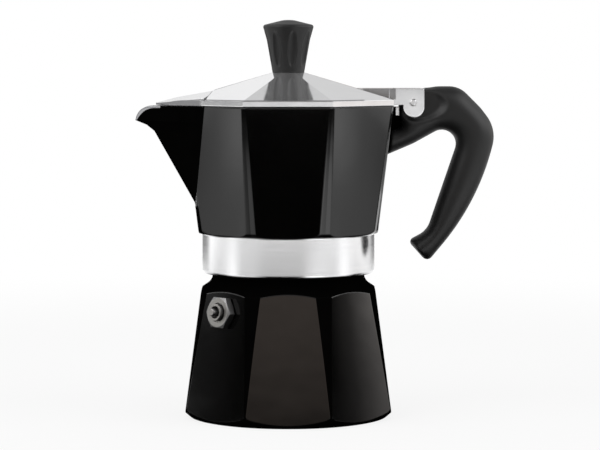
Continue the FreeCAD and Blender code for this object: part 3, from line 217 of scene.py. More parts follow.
# Pools of light that they see on the floor, by turn
FAR_POOL = [
    (0.0, 0.0), (0.26, 0.0), (0.36, 2.0), (0.42, 1.85), (0.5, 0.9), (0.58, 0.53), (0.75, 1.0),
    (1.0, 1.4),
]
NEAR_POOL = [
    (0.0, 0.0), (0.28, 0.0), (0.38, 1.15), (0.44, 1.0), (0.58, 0.70), (0.66, 0.2), (0.74, 0.8),
    (0.86, 1.0), (1.0, 1.3),
]
FRONT_RIGHT_POOL = [
    (0.0, 0.0), (0.02, 0.0), (0.05, 2.0), (0.13, 1.9), (0.2, 1.2), (0.34, 1.1), (0.43, 1.1),
    (0.47, 0.0),
]
FRONT_LEFT_POOL = [(0.0, 0.0), (0.06, 0.0), (0.14, 1.0), (0.34, 1.1), (0.43, 1.1), (0.47, 0.0)]

# Where the pools and the shade round them begin and end, in millimetres from the pot's axis or by
# turn. A pair is an edge and its softness.
SIDE_POOL_START = 260.0
BACK_POOL_START = 140.0
POOL_SOFTNESS = 60.0
POOL_BEHIND = (0.7, 0.05)
FAR_POOL_START = (480.0, 110.0)
FRONT_POOL_START = (130.0, 50.0)
FRONT_POOL_END = (420.0, 60.0)
FRONT_SHADE_END = 620.0
SIDE_SHADE_END = 705.0
SHADE_SOFTNESS = 20.0
SHADE_BESIDE = (0.3, 0.05)

# Panels of light that they see above the floor, by height, where 1 is overhead
FRONT_PANEL = [
    (0.0, 0.5), (0.02, 0.05), (0.09, 0.05), (0.12, 0.55), (0.16, 0.95), (0.18, 0.95), (0.21, 0.05),
    (0.42, 0.05), (0.6, 0.8), (0.9, 0.75),
]
RIGHT_PANEL = [
    (0.0, 0.7), (0.04, 1.2), (0.055, 1.7), (0.075, 3.0), (0.10, 2.8), (0.16, 1.9), (0.45, 1.3),
    (0.7, 0.5), (1.0, 0.3),
]
LEFT_PANEL = [
    (0.0, 0.03), (0.05, 0.07), (0.062, 0.25), (0.08, 1.0), (0.2, 0.8), (0.45, 1.2), (0.7, 0.5),
    (1.0, 0.3),
]
BACK_LEFT_PANEL = [
    (0.0, 0.2), (0.07, 0.2), (0.11, 0.8), (0.27, 0.94), (0.48, 0.94), (0.53, 0.64), (0.8, 0.5),
    (1.0, 0.3),
]
BACK_RIGHT_PANEL = [
    (0.0, 0.5), (0.05, 0.6), (0.10, 0.72), (0.27, 0.68), (0.48, 0.68), (0.53, 0.64), (0.8, 0.5),
    (1.0, 0.3),
]

# Dark gaps between the panels, by turn
PANEL_GAPS = [
    (0.0, 1.0), (0.04, 1.0), (0.10, 0.15), (0.26, 0.15), (0.33, 0.0), (0.43, 0.0), (0.50, 0.12),
    (0.55, 0.45), (0.61, 1.0), (1.0, 1.0),
]

# Where one panel gives way to the next, by turn or height. A pair is an edge and its softness.
PANEL_BESIDE = (0.38, 0.06)
PANEL_BEHIND = (0.80, 0.06)
OVERHEAD_LIGHT = 1.8
OVERHEAD_LOW = (0.24, 0.06)
OVERHEAD_HIGH = (0.72, 0.08)
OVERHEAD_FRONT = (0.12, 0.05)
OVERHEAD_BACK = (0.72, 0.06)
SKYLINE_TOP = (0.012, 0.012)
SKYLINE_BESIDE = (0.25, 0.2)
FRONT_SKYLINE = 0.44
LEFT_SKYLINE = 0.2
RIGHT_SKYLINE = 0.70

# Warm tint of the panels in front and on the right
WHITE = (1, 1, 1, 1)
WARM_WHITE = (1.0, 0.84, 0.74, 1)
WARM_FRONT = (0.2, 0.1)
WARM_FRONT_LOW = (0.06, 0.04)
WARM_FRONT_HIGH = (0.25, 0.04)
WARM_BESIDE = (0.42, 0.04)
WARM_RIGHT_HIGH = (0.13, 0.03)
RIGHT_WARMTH = 0.35

# What the camera and plain surfaces see
FLOOR_HALF = 4.0
FLOOR_GREY = (0.82, 0.82, 0.82, 1)
FLOOR_ROUGH = 0.9
FLOOR_LIFT = 0.84
FLOOR_LIFT_END = (450.0, 200.0)
TENT_LIGHT = 0.62


# Node helpers


def add(tree, kind, inputs=None, **settings):
    """A new node with its settings, and its inputs set to values or linked to sockets."""
    made = tree.nodes.new(kind)
    for name, value in settings.items():
        setattr(made, name, value)
    for name, value in (inputs or {}).items():
        if isinstance(value, bpy.types.NodeSocket):
            tree.links.new(value, made.inputs[name])
        else:
            made.inputs[name].default_value = value
    return made


def calc(tree, operation, *values, clamp=False):
    """The result of one sum on values or sockets."""
    inputs = dict(enumerate(values))
    return add(tree, "ShaderNodeMath", inputs, operation=operation, use_clamp=clamp).outputs[0]


def vector_calc(tree, operation, *values):
    """The vector that comes from one sum on vectors."""
    inputs = dict(enumerate(values))
    return add(tree, "ShaderNodeVectorMath", inputs, operation=operation).outputs["Vector"]


def scaled(tree, vector, factor):
    """A vector made longer or shorter."""
    inputs = {0: vector, "Scale": factor}
    return add(tree, "ShaderNodeVectorMath", inputs, operation="SCALE").outputs["Vector"]


def dot(tree, first, second):
    """The dot product of two vectors."""
    inputs = {0: first, 1: second}
    return add(tree, "ShaderNodeVectorMath", inputs, operation="DOT_PRODUCT").outputs["Value"]


def split(tree, vector):
    """The three values of a vector."""
    return add(tree, "ShaderNodeSeparateXYZ", {0: vector}).outputs


def join(tree, x=0.0, y=0.0, z=0.0):
    """A vector of three values."""
    return add(tree, "ShaderNodeCombineXYZ", {0: x, 1: y, 2: z}).outputs[0]


def reach(tree, first, second):
    """The length of a vector of two values."""
    squares = [calc(tree, "MULTIPLY", value, value) for value in (first, second)]
    return calc(tree, "SQRT", calc(tree, "ADD", *squares))


def blend_value(tree, factor, low, high):
    """A value between two others."""
    inputs = {0: factor, 2: low, 3: high}
    return add(tree, "ShaderNodeMix", inputs, data_type="FLOAT").outputs[0]


def blend_colour(tree, factor, low, high):
    """A colour between two others."""
    inputs = {0: factor, 6: low, 7: high}
    return add(tree, "ShaderNodeMix", inputs, data_type="RGBA").outputs[2]


def ramp(tree, factor, stops):
    """A value read from a row of (place, value) stops."""
    made = add(tree, "ShaderNodeValToRGB", {0: factor})
    band = made.color_ramp
    while len(band.elements) < len(stops):
        band.elements.new(0.5)
    for element, (place, value) in zip(band.elements, stops):
        element.position = place
        element.color = (value, value, value, 1.0)
    return made.outputs[0]


def step_up(tree, value, edge, softness):
    """A mask that rises from 0 to 1 as a value passes an edge."""
    inputs = {0: value, 3: 0.0, 4: 1.0}
    made = add(tree, "ShaderNodeMapRange", inputs, interpolation_type="SMOOTHSTEP")
    low, high = made.inputs[1], made.inputs[2]
    if isinstance(edge, bpy.types.NodeSocket):
        tree.links.new(calc(tree, "SUBTRACT", edge, softness), low)
        tree.links.new(calc(tree, "ADD", edge, softness), high)
    else:
        low.default_value = edge - softness
        high.default_value = edge + softness
    return made.outputs[0]


def step_down(tree, value, edge, softness):
    """A mask that falls from 1 to 0 as a value passes an edge."""
    return calc(tree, "SUBTRACT", 1.0, step_up(tree, value, edge, softness))


def both(tree, *masks):
    """A mask of where all of several masks are."""
    joined = masks[0]
    for mask in masks[1:]:
        joined = calc(tree, "MULTIPLY", joined, mask)
    return joined


def either(tree, *masks):
    """A mask of where any of several masks is."""
    joined = masks[0]
    for mask in masks[1:]:
        joined = calc(tree, "MAXIMUM", joined, mask)
    return joined


def millimetres(tree):
    """The piece's own coordinates in millimetres, as one vector and as three values."""
    place = scaled(tree, add(tree, "ShaderNodeTexCoord").outputs["Object"], 1 / MM)
    x, y, z = split(tree, place)
    return place, x, y, z


def carried(tree, vector, kind, before, after):
    """A vector carried from one frame to another, such as from the world to the piece's own."""
    made = add(
        tree, "ShaderNodeVectorTransform", {"Vector": vector},
        vector_type=kind, convert_from=before, convert_to=after,
    )
    return made.outputs[0]


def true_normal(tree):
    """The way a face points in the piece's own frame, before any bump."""
    facing = add(tree, "ShaderNodeNewGeometry").outputs["True Normal"]
    return carried(tree, facing, "NORMAL", "WORLD", "OBJECT")


def facet_of(tree, x, y):
    """How many facets round the axis a way lies, and the nearest whole facet."""
    facets = calc(tree, "DIVIDE", calc(tree, "ARCTAN2", y, x), FACET_TURN)
    return facets, calc(tree, "ROUND", facets)


def make_group(name, kind, inputs, outputs):
    """An empty node group with named sockets, and its inside ends."""
    tree = bpy.data.node_groups.new(name, kind)
    for socket_name, socket_kind, value in inputs:
        socket = tree.interface.new_socket(socket_name, in_out="INPUT", socket_type=socket_kind)
        if value is not None:
            socket.default_value = value
    for socket_name, socket_kind in outputs:
        tree.interface.new_socket(socket_name, in_out="OUTPUT", socket_type=socket_kind)
    return tree, add(tree, "NodeGroupInput").outputs, add(tree, "NodeGroupOutput").inputs


def make_effect(name, inputs, outputs):
    """An empty group for a shader effect."""
    return make_group(name, "ShaderNodeTree", inputs, outputs)


def use_effect(tree, group, **inputs):
    """A shader effect placed in a material, with its inputs by name."""
    return add(tree, "ShaderNodeGroup", inputs, node_tree=group).outputs


# Handle, swollen from its outline


def rounded_corner(before, corner, after, radius):
    """Points of the arc that rounds one corner of an outline."""
    to_before = (before - corner) / np.linalg.norm(before - corner)
    to_after = (after - corner) / np.linalg.norm(after - corner)
    half_angle = math.acos(np.clip(np.dot(to_before, to_after), -1.0, 1.0)) / 2
    middle = (to_before + to_after) / np.linalg.norm(to_before + to_after)
    centre = corner + middle * radius / math.sin(half_angle)
    start = corner + to_before * radius / math.tan(half_angle) - centre
    end = corner + to_after * radius / math.tan(half_angle) - centre
    sweep = math.pi - 2 * half_angle
    steps = max(2, math.ceil(sweep * radius / HANDLE_STEP))
    shares = np.linspace(0.0, 1.0, steps + 1)
    arms = [
        math.sin((1 - share) * sweep) * start + math.sin(share * sweep) * end for share in shares
    ]
    return [centre + arm / math.sin(sweep) for arm in arms]


def handle_outline():
    """Points round the handle, and for each the mark of an open end's edge after it."""
    names = [name for name, _, _, _ in HANDLE_CORNERS]
    spots = [np.array((x, z)) for _, x, z, _ in HANDLE_CORNERS]
    radii = [radius for _, _, _, radius in HANDLE_CORNERS]
    count = len(spots)
    arcs = [
        rounded_corner(spots[place - 1], spots[place], spots[(place + 1) % count], radii[place])
        for place in range(count)
    ]
    points, ends = [], []
    for place, arc in enumerate(arcs):
        start, end = arc[-1], arcs[(place + 1) % count][0]
        steps = max(1, math.ceil(np.linalg.norm(end - start) / HANDLE_STEP))
        run = [start + (end - start) * step / steps for step in range(steps)]
        points += arc[:-1] + run
        ends += [False] * (len(arc) - 1) + [names[place] in HANDLE_ENDS] * steps
    return np.array(points), ends


def distance_to_outline(places, outline):
    """How far each place is from the nearest edge of a closed outline."""
    start = outline[None, :, :]
    way = np.roll(outline, -1, axis=0)[None, :, :] - start
    offset = places[:, None, :] - start
    share = np.clip((offset * way).sum(axis=2) / (way * way).sum(axis=2), 0.0, 1.0)
    return np.linalg.norm(offset - way * share[:, :, None], axis=2).min(axis=1)


def depth_in_outline(places, starts, ways):
    """How deep each place lies behind a row of edges, smooth where two edges are as near."""
    lengths = np.linalg.norm(ways, axis=1)
    along = ways / lengths[:, None]
    offset = places[:, None, :] - starts[None, :, :]
    first = (offset * along[None, :, :]).sum(axis=2)
    last = first - lengths[None, :]
    least = 1e-8
    aside = np.maximum((offset * offset).sum(axis=2) - first * first, least)
    before = first / np.sqrt(aside + first * first)
    after = last / np.sqrt(aside + last * last)
    pull = (before - after) / aside
    return np.sqrt(2.0 / pull.sum(axis=1))


def inside_outline(places, outline):
    """Which places lie inside a closed outline."""
    after = np.roll(outline, -1, axis=0)
    x, z = places[:, 0, None], places[:, 1, None]
    crosses = (outline[None, :, 1] > z) != (after[None, :, 1] > z)
    run, rise = (after - outline).T
    rise = np.where(rise == 0.0, 1.0, rise)[None, :]
    meets = outline[None, :, 0] + (z - outline[None, :, 1]) * run[None, :] / rise
    return ((crosses & (x < meets)).sum(axis=1) % 2) == 1


def handle_plate():
    """A flat plate of the handle's outline, with rows of points at its edge and a grid within."""
    outline, ends = handle_outline()
    along = np.roll(outline, -1, axis=0) - np.roll(outline, 1, axis=0)
    along /= np.linalg.norm(along, axis=1)[:, None]
    inward = np.stack((along[:, 1], -along[:, 0]), axis=1)
    inner = []
    for depth in HANDLE_ROWS:
        places = outline + inward * depth
        clear = distance_to_outline(places, outline) > depth * HANDLE_ROW_SLACK
        inner += list(places[inside_outline(places, outline) & clear])
    low, high = outline.min(axis=0), outline.max(axis=0)
    rows = np.arange(low[1], high[1], HANDLE_GRID * math.sqrt(0.75))
    grid = np.array([
        (x, z) for place, z in enumerate(rows)
        for x in np.arange(low[0] + place % 2 * HANDLE_GRID / 2, high[0], HANDLE_GRID)
    ])
    clear = distance_to_outline(grid, outline) > HANDLE_ROWS[-1] + HANDLE_GRID / 2
    deep = inside_outline(grid, outline) & clear
    points = np.concatenate((outline, np.array(inner), grid[deep]))
    count = len(outline)
    edges = [(place, (place + 1) % count) for place in range(count)]
    keep_inside, nearest = 1, 0.0001
    spots, _, faces, _, _, _ = delaunay_2d_cdt(
        [Vector(point) for point in points], edges, [], keep_inside, nearest
    )
    mesh = bpy.data.meshes.new("handle_plate")
    mesh.from_pydata([(x * MM, 0.0, z * MM) for x, z in spots], [], faces)
    flat = np.array([tuple(spot) for spot in spots])
    ways = np.roll(outline, -1, axis=0) - outline
    at_ends = np.array(ends)
    for name, chosen in (("side_depth", ~at_ends), ("end_depth", at_ends)):
        depth = depth_in_outline(flat, outline[chosen], ways[chosen])
        depth[:count] = np.where(chosen | np.roll(chosen, 1), 0.0, depth[:count])
        mesh.attributes.new(name, "FLOAT", "POINT").data.foreach_set("value", depth * MM)
    return mesh


def make_swell():
    """A node tree that swells a flat plate both ways, round at its edge and dished about a pin."""
    tree, given, out = make_group("swell", "GeometryNodeTree", [
        ("Geometry", "NodeSocketGeometry", None),
        ("Half Width", "NodeSocketFloat", HANDLE_HALF * MM),
        ("Edge Rounding", "NodeSocketFloat", HANDLE_ROUNDING * MM),
        ("End Rounding", "NodeSocketFloat", HANDLE_END_ROUNDING * MM),
        ("Tongue Half Width", "NodeSocketFloat", TONGUE_HALF * MM),
        ("Tongue Rounding", "NodeSocketFloat", TONGUE_ROUNDING * MM),
        ("Pin Spot", "NodeSocketVector", (PIN_X * MM, 0.0, PIN_Z * MM)),
        ("Dish Reach", "NodeSocketVector", (DISH_X * MM, 1.0, DISH_Z * MM)),
        ("Dish Softness", "NodeSocketFloat", DISH_SOFTNESS),
        ("Finish", "NodeSocketMaterial", None),
    ], [("Geometry", "NodeSocketGeometry")])

    def round_off(name, rounding):
        """How full the section is behind some edges, from 0 at them to 1 past their rounding."""
        kept = add(tree, "GeometryNodeInputNamedAttribute", {"Name": name}, data_type="FLOAT")
        share = calc(tree, "DIVIDE", kept.outputs[0], rounding)
        left = calc(tree, "SUBTRACT", 1.0, share, clamp=True)
        return calc(tree, "SQRT", calc(tree, "SUBTRACT", 1.0, calc(tree, "MULTIPLY", left, left)))

    place = add(tree, "GeometryNodeInputPosition").outputs[0]
    from_pin = vector_calc(tree, "SUBTRACT", place, given["Pin Spot"])
    within = vector_calc(tree, "DIVIDE", from_pin, given["Dish Reach"])
    dish_place = add(tree, "ShaderNodeVectorMath", {0: within}, operation="LENGTH").outputs["Value"]
    grip = add(tree, "ShaderNodeMapRange", {
        0: dish_place, 1: calc(tree, "SUBTRACT", 1.0, given["Dish Softness"]),
        2: calc(tree, "ADD", 1.0, given["Dish Softness"]), 3: 0.0, 4: 1.0,
    }, interpolation_type="SMOOTHSTEP").outputs[0]
    half = blend_value(tree, grip, given["Tongue Half Width"], given["Half Width"])
    rounding = blend_value(tree, grip, given["Tongue Rounding"], given["Edge Rounding"])
    at_sides = round_off("side_depth", rounding)
    at_ends = round_off("end_depth", given["End Rounding"])
    thick = calc(tree, "MULTIPLY", half, calc(tree, "MULTIPLY", at_sides, at_ends))

    front = add(tree, "GeometryNodeSetPosition", {
        "Geometry": given["Geometry"], "Offset": join(tree, y=calc(tree, "MULTIPLY", thick, -1.0)),
    }).outputs[0]
    back = add(tree, "GeometryNodeSetPosition", {
        "Geometry": given["Geometry"], "Offset": join(tree, y=thick),
    }).outputs[0]
    flipped = add(tree, "GeometryNodeFlipFaces", {0: back}).outputs[0]
    halves = add(tree, "GeometryNodeJoinGeometry")
    tree.links.new(front, halves.inputs[0])
    tree.links.new(flipped, halves.inputs[0])
    closed = add(tree, "GeometryNodeMergeByDistance", {
        "Geometry": halves.outputs[0], "Distance": HANDLE_SEAM * MM,
    })
    smooth = add(tree, "GeometryNodeSetShadeSmooth", {
        "Geometry": closed.outputs[0], "Shade Smooth": True,
    })
    real = add(tree, "GeometryNodeRealizeInstances", {"Geometry": smooth.outputs[0]})
    finished = add(tree, "GeometryNodeSetMaterial", {
        "Geometry": real.outputs[0], "Material": given["Finish"],
    })
    tree.links.new(finished.outputs[0], out["Geometry"])
    return tree


def place_object(name, data):
    """A new object of a mesh, lamp or camera, in the scene."""
    holder = bpy.data.objects.new(name, data)
    bpy.context.scene.collection.objects.link(holder)
    return holder


def prism(name, corners, half):
    """A bar of a flat outline seen from the front, as deep to each side."""
    count = len(corners)
    points = [(x * MM, side * half * MM, z * MM) for side in (-1, 1) for x, z in corners]
    front = tuple(range(count))
    back = tuple(reversed(range(count, 2 * count)))
    nexts = [(place + 1) % count for place in range(count)]
    walls = [(place, place + count, after + count, after) for place, after in enumerate(nexts)]
    mesh = bpy.data.meshes.new(name)
    mesh.from_pydata(points, [], [front, back, *walls])
    return place_object(name, mesh)


def make_plain(piece):
    """Turns what a piece's modifiers give into its own mesh, and removes them."""
    graph = bpy.context.evaluated_depsgraph_get()
    mesh = bpy.data.meshes.new_from_object(piece.evaluated_get(graph))
    piece.modifiers.clear()
    piece.data = mesh


def make_handle(finish):
    """The moulded handle, with the slot that takes the chamber's tang and the pin's hole."""
    piece = place_object("moulded_handle", handle_plate())
    swelling = piece.modifiers.new("swell", "NODES")
    swelling.node_group = make_swell()
    sockets = swelling.node_group.interface.items_tree
    names = {socket.name: socket.identifier for socket in sockets}
    swelling[names["Finish"]] = finish
    make_plain(piece)
    turns = [place / PIN_HOLE_SIDES * 2 * math.pi for place in range(PIN_HOLE_SIDES)]
    hole = [
        (PIN_X + PIN_HOLE_R * math.cos(turn), PIN_Z + PIN_HOLE_R * math.sin(turn)) for turn in turns
    ]
    cutters = [
        prism("tang_slot", TANG_SLOT, TANG_SLOT_HALF), prism("pin_hole", hole, HANDLE_HALF)
    ]
    for cutter in cutters:
        cutting = piece.modifiers.new(cutter.name, "BOOLEAN")
        cutting.operation = "DIFFERENCE"
        cutting.solver = "EXACT"
        cutting.object = cutter
    make_plain(piece)
    for cutter in cutters:
        bpy.data.objects.remove(cutter)
    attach(piece, "upper_chamber")
    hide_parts("handle")


# Valve's spring


def squash_spring():
    """Gives the valve's spring a mesh of its own."""
    spring = NODES["valve_spring"]
    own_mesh(spring)


# Shader effects that several finishes share


def make_handling_marks():
    """Smudges and hair-fine scratches that a used kitchen pot gathers."""
    tree, given, out = make_effect(
        "handling_marks",
        [("Scale", "NodeSocketFloat", 1.0), ("Scratch Width", "NodeSocketFloat", 0.04)],
        [("Smudge", "NodeSocketFloat"), ("Scratch", "NodeSocketFloat")],
    )
    place, _, _, _ = millimetres(tree)
    smudge = add(tree, "ShaderNodeTexNoise", {
        "Vector": place, "Scale": calc(tree, "MULTIPLY", given["Scale"], 0.06),
        "Detail": 5.0, "Roughness": 0.6, "Distortion": 0.6,
    }).outputs[0]
    stretched = add(tree, "ShaderNodeMapping", {
        "Vector": place, "Rotation": (0.35, 0.6, 0.2), "Scale": (0.9, 0.9, 0.05),
    }).outputs[0]
    hairs = add(tree, "ShaderNodeTexVoronoi", {
        "Vector": stretched, "Scale": calc(tree, "MULTIPLY", given["Scale"], 0.35),
    }, feature="DISTANCE_TO_EDGE")
    near = calc(tree, "LESS_THAN", hairs.outputs["Distance"], given["Scratch Width"])
    tree.links.new(smudge, out["Smudge"])
    tree.links.new(both(tree, near, step_up(tree, smudge, 0.56, 0.05)), out["Scratch"])
    return tree


def make_turned_lines():
    """Fine rings that a lathe leaves round the upright axis."""
    tree, given, out = make_effect(
        "turned_lines",
        [("Fineness", "NodeSocketFloat", 6.0)],
        [("Height", "NodeSocketFloat"), ("Shade", "NodeSocketFloat")],
    )
    _, x, y, z = millimetres(tree)
    along = join(tree, x=reach(tree, x, y), z=z)
    fine = add(tree, "ShaderNodeTexNoise", {
        "Vector": along, "Scale": given["Fineness"], "Detail": 3.0, "Roughness": 0.7,
    })
    broad = add(tree, "ShaderNodeTexNoise", {
        "Vector": along, "Scale": calc(tree, "MULTIPLY", given["Fineness"], 0.12), "Detail": 2.0,
    })
    tree.links.new(fine.outputs[0], out["Height"])
    tree.links.new(broad.outputs[0], out["Shade"])
    return tree


def make_cast_skin():
    """The slight unevenness of a die-cast or moulded surface."""
    tree, given, out = make_effect(
        "cast_skin",
        [("Wave", "NodeSocketFloat", 0.08), ("Grain", "NodeSocketFloat", 4.0)],
        [("Wave Height", "NodeSocketFloat"), ("Grain Height", "NodeSocketFloat")],
    )
    place, _, _, _ = millimetres(tree)
    wave = add(tree, "ShaderNodeTexNoise", {
        "Vector": place, "Scale": given["Wave"], "Detail": 1.0,
    })
    grain = add(tree, "ShaderNodeTexNoise", {
        "Vector": place, "Scale": given["Grain"], "Detail": 4.0,
    })
    tree.links.new(wave.outputs[0], out["Wave Height"])
    tree.links.new(grain.outputs[0], out["Grain Height"])
    return tree


def make_soft_edge():
    """Edges that catch the light as if rounded, and a mask of where they are."""
    tree, given, out = make_effect(
        "soft_edge",
        [("Radius", "NodeSocketFloat", 0.5 * MM)],
        [("Normal", "NodeSocketVector"), ("Edge", "NodeSocketFloat")],
    )
    bevel = add(tree, "ShaderNodeBevel", {"Radius": given["Radius"]}, samples=EDGE_SAMPLES)
    rounded = bevel.outputs[0]
    alike = dot(tree, rounded, add(tree, "ShaderNodeNewGeometry").outputs["Normal"])
    unlike = calc(tree, "SUBTRACT", 1.0, alike, clamp=True)
    edge = calc(tree, "MULTIPLY", unlike, EDGE_STRENGTH, clamp=True)
    tree.links.new(rounded, out["Normal"])
    tree.links.new(edge, out["Edge"])
    return tree


def make_facing_in():
    """A mask of the walls that face the pot's axis, which are never painted."""
    tree, _, out = make_effect("facing_in", [], [("Inside", "NodeSocketFloat")])
    _, x, y, _ = millimetres(tree)
    outward = vector_calc(tree, "NORMALIZE", join(tree, x, y))
    facing_out = dot(tree, true_normal(tree), outward)
    tree.links.new(calc(tree, "LESS_THAN", facing_out, FACING_AXIS), out["Inside"])
    return tree


def make_crowned_facets():
    """The eight facets of a casting, each slightly crowned across its width."""
    tree, given, out = make_effect(
        "crowned_facets",
        [
            ("Normal", "NodeSocketVector", (0.0, 0.0, 1.0)),
            ("Crown", "NodeSocketFloat", FACET_CROWN),
        ],
        [("Normal", "NodeSocketVector")],
    )
    _, x, y, _ = millimetres(tree)
    _, facet = facet_of(tree, x, y)
    middle = calc(tree, "MULTIPLY", facet, FACET_TURN)
    sine, cosine = calc(tree, "SINE", middle), calc(tree, "COSINE", middle)
    across = join(tree, calc(tree, "MULTIPLY", sine, -1.0), cosine)
    aside = calc(
        tree, "SUBTRACT", calc(tree, "MULTIPLY", y, cosine), calc(tree, "MULTIPLY", x, sine)
    )
    lean = scaled(tree, across, calc(tree, "MULTIPLY", aside, given["Crown"]))
    leaning = vector_calc(
        tree, "ADD", given["Normal"], carried(tree, lean, "VECTOR", "OBJECT", "WORLD")
    )
    tree.links.new(vector_calc(tree, "NORMALIZE", leaning), out["Normal"])
    return tree


HANDLING_MARKS = make_handling_marks()
TURNED_LINES = make_turned_lines()
CAST_SKIN = make_cast_skin()
SOFT_EDGE = make_soft_edge()
FACING_IN = make_facing_in()
CROWNED_FACETS = make_crowned_facets()


# Finishes


def new_material(name):
    """A material with an empty Principled shader."""
    material = bpy.data.materials.new(name)
    material.use_nodes = True
    tree = material.node_tree
    return material, tree, tree.nodes["Principled BSDF"]


def bump(tree, height, strength, distance, normal):
    """A bumped normal."""
    return add(tree, "ShaderNodeBump", {
        "Height": height, "Strength": strength, "Distance": distance, "Normal": normal,
    }).outputs[0]


def enamel_over_metal(name, find_places, metal_rough, edge_radius):
    """Glossy black enamel, matt in places, and bare metal, filed in places, from three masks."""
    material, tree, shader = new_material(name)
    bare, filed, matt = find_places(tree)
    edge = use_effect(tree, SOFT_EDGE, Radius=edge_radius)
    marks = use_effect(tree, HANDLING_MARKS)
    skin = use_effect(tree, CAST_SKIN)
    rings = use_effect(tree, TURNED_LINES)
    wear = calc(tree, "MULTIPLY", edge["Edge"], ENAMEL_WEAR)
    paint = blend_colour(tree, wear, blend_colour(tree, marks["Smudge"], *ENAMEL), WORN_ENAMEL)
    silver = blend_colour(tree, rings["Shade"], *TURNED_SILVER)
    silver = blend_colour(tree, filed, silver, FILED_SILVER)
    glossy_rough = blend_value(tree, marks["Smudge"], *ENAMEL_ROUGH)
    paint_rough = blend_value(tree, matt, glossy_rough, MATT_ROUGH)
    bare_roughs = [metal_rough + spread for spread in TURNED_ROUGH_SPREAD]
    bare_rough = blend_value(tree, rings["Shade"], *bare_roughs)
    painted = calc(tree, "SUBTRACT", 1.0, bare)
    glossy = calc(tree, "SUBTRACT", painted, both(tree, painted, matt))
    crown = calc(tree, "MULTIPLY", glossy, FACET_CROWN)
    crowned = use_effect(tree, CROWNED_FACETS, Normal=edge["Normal"], Crown=crown)
    wavy = bump(tree, skin["Wave Height"], *ENAMEL_WAVE_BUMP, crowned["Normal"])
    peel = bump(tree, skin["Grain Height"], *ENAMEL_GRAIN_BUMP, wavy)
    grooved = bump(tree, both(tree, rings["Height"], bare), *TURNED_BUMP, peel)
    tree.links.new(blend_colour(tree, bare, paint, silver), shader.inputs["Base Color"])
    tree.links.new(bare, shader.inputs["Metallic"])
    tree.links.new(blend_value(tree, bare, paint_rough, bare_rough), shader.inputs["Roughness"])
    gloss = blend_value(tree, matt, ENAMEL_GLOSS, 0.0)
    tree.links.new(gloss, shader.inputs["Specular IOR Level"])
    tree.links.new(grooved, shader.inputs["Normal"])
    return material


def on_corners(tree):
    """Where the rounded corners of a casting lie between its facets."""
    out_x, out_y, _ = split(tree, true_normal(tree))
    facets, facet = facet_of(tree, out_x, out_y)
    off_facet = calc(tree, "ABSOLUTE", calc(tree, "SUBTRACT", facets, facet))
    return step_up(tree, off_facet, CORNER_TURN, 0.02)


def boiler_places(tree):
    """The boiler's inside and its neck's end are bare, and its neck, shoulder and corners matt."""
    _, _, _, z = millimetres(tree)
    inside = use_effect(tree, FACING_IN)["Inside"]
    facing_up = step_up(tree, split(tree, true_normal(tree))[2], FACING_UP, 0.05)
    bottom = both(tree, facing_up, step_down(tree, z, BOILER_HOLLOW_Z, 1.0))
    bare = either(tree, inside, bottom, step_up(tree, z, NECK_PAINT_TOP, 0.05))
    shoulder = both(tree, facing_up, step_up(tree, z, SHOULDER_Z, 1.0))
    matt = either(tree, shoulder, step_up(tree, z, NECK_Z, 0.3), on_corners(tree))
    return bare, 0.0, matt


def chamber_places(tree):
    """The chamber's inside, collar, rim, lip and tang's end are bare, its spout and tang matt."""
    _, x, _, z = millimetres(tree)
    inside = use_effect(tree, FACING_IN)["Inside"]
    collar = step_down(tree, z, COLLAR_TOP, 0.05)
    level = calc(tree, "GREATER_THAN", split(tree, true_normal(tree))[2], LEVEL)
    past = calc(tree, "MAXIMUM", calc(tree, "SUBTRACT", LIP_PAINT_START, x), 0.0)
    share = calc(tree, "POWER", calc(tree, "DIVIDE", past, LIP_PAINT_RUN), LIP_PAINT_BEND)
    lip_edge = calc(tree, "SUBTRACT", LIP_PAINT_TOP, calc(tree, "MULTIPLY", share, LIP_PAINT_DROP))
    lip = both(tree, step_up(tree, z, lip_edge, 0.12), step_down(tree, x, LIP_BARE_X, 0.3))
    tang = both(tree, step_up(tree, x, TANG_BARE_X, 0.1), step_up(tree, z, TANG_BARE_Z, 0.1))
    bare = either(tree, inside, collar, level, lip, tang)
    over_root = calc(tree, "SUBTRACT", z, SPOUT_ROOT_Z)
    crease_x = calc(tree, "MULTIPLY_ADD", over_root, SPOUT_CREASE_LEAN, SPOUT_CREASE_X)
    past_crease = calc(tree, "SUBTRACT", crease_x, x)
    past_lap = step_up(tree, past_crease, -SPOUT_CREASE_LAP, 0.1)
    spout = both(tree, past_lap, step_up(tree, over_root, 0.0, 0.5))
    under_spout = both(
        tree, on_corners(tree), step_down(tree, x, SPOUT_SIDE_X, 1.0),
        step_down(tree, over_root, 0.5, 0.5),
    )
    over_bottom = calc(tree, "SUBTRACT", z, CHAMBER_BOTTOM)
    facet_x = calc(tree, "MULTIPLY_ADD", over_bottom, CHAMBER_LEAN, CHAMBER_FACET_LOW)
    root_of_tang = step_up(tree, calc(tree, "SUBTRACT", x, facet_x), TANG_OUT, 0.1)
    return bare, lip, either(tree, spout, under_spout, root_of_tang)


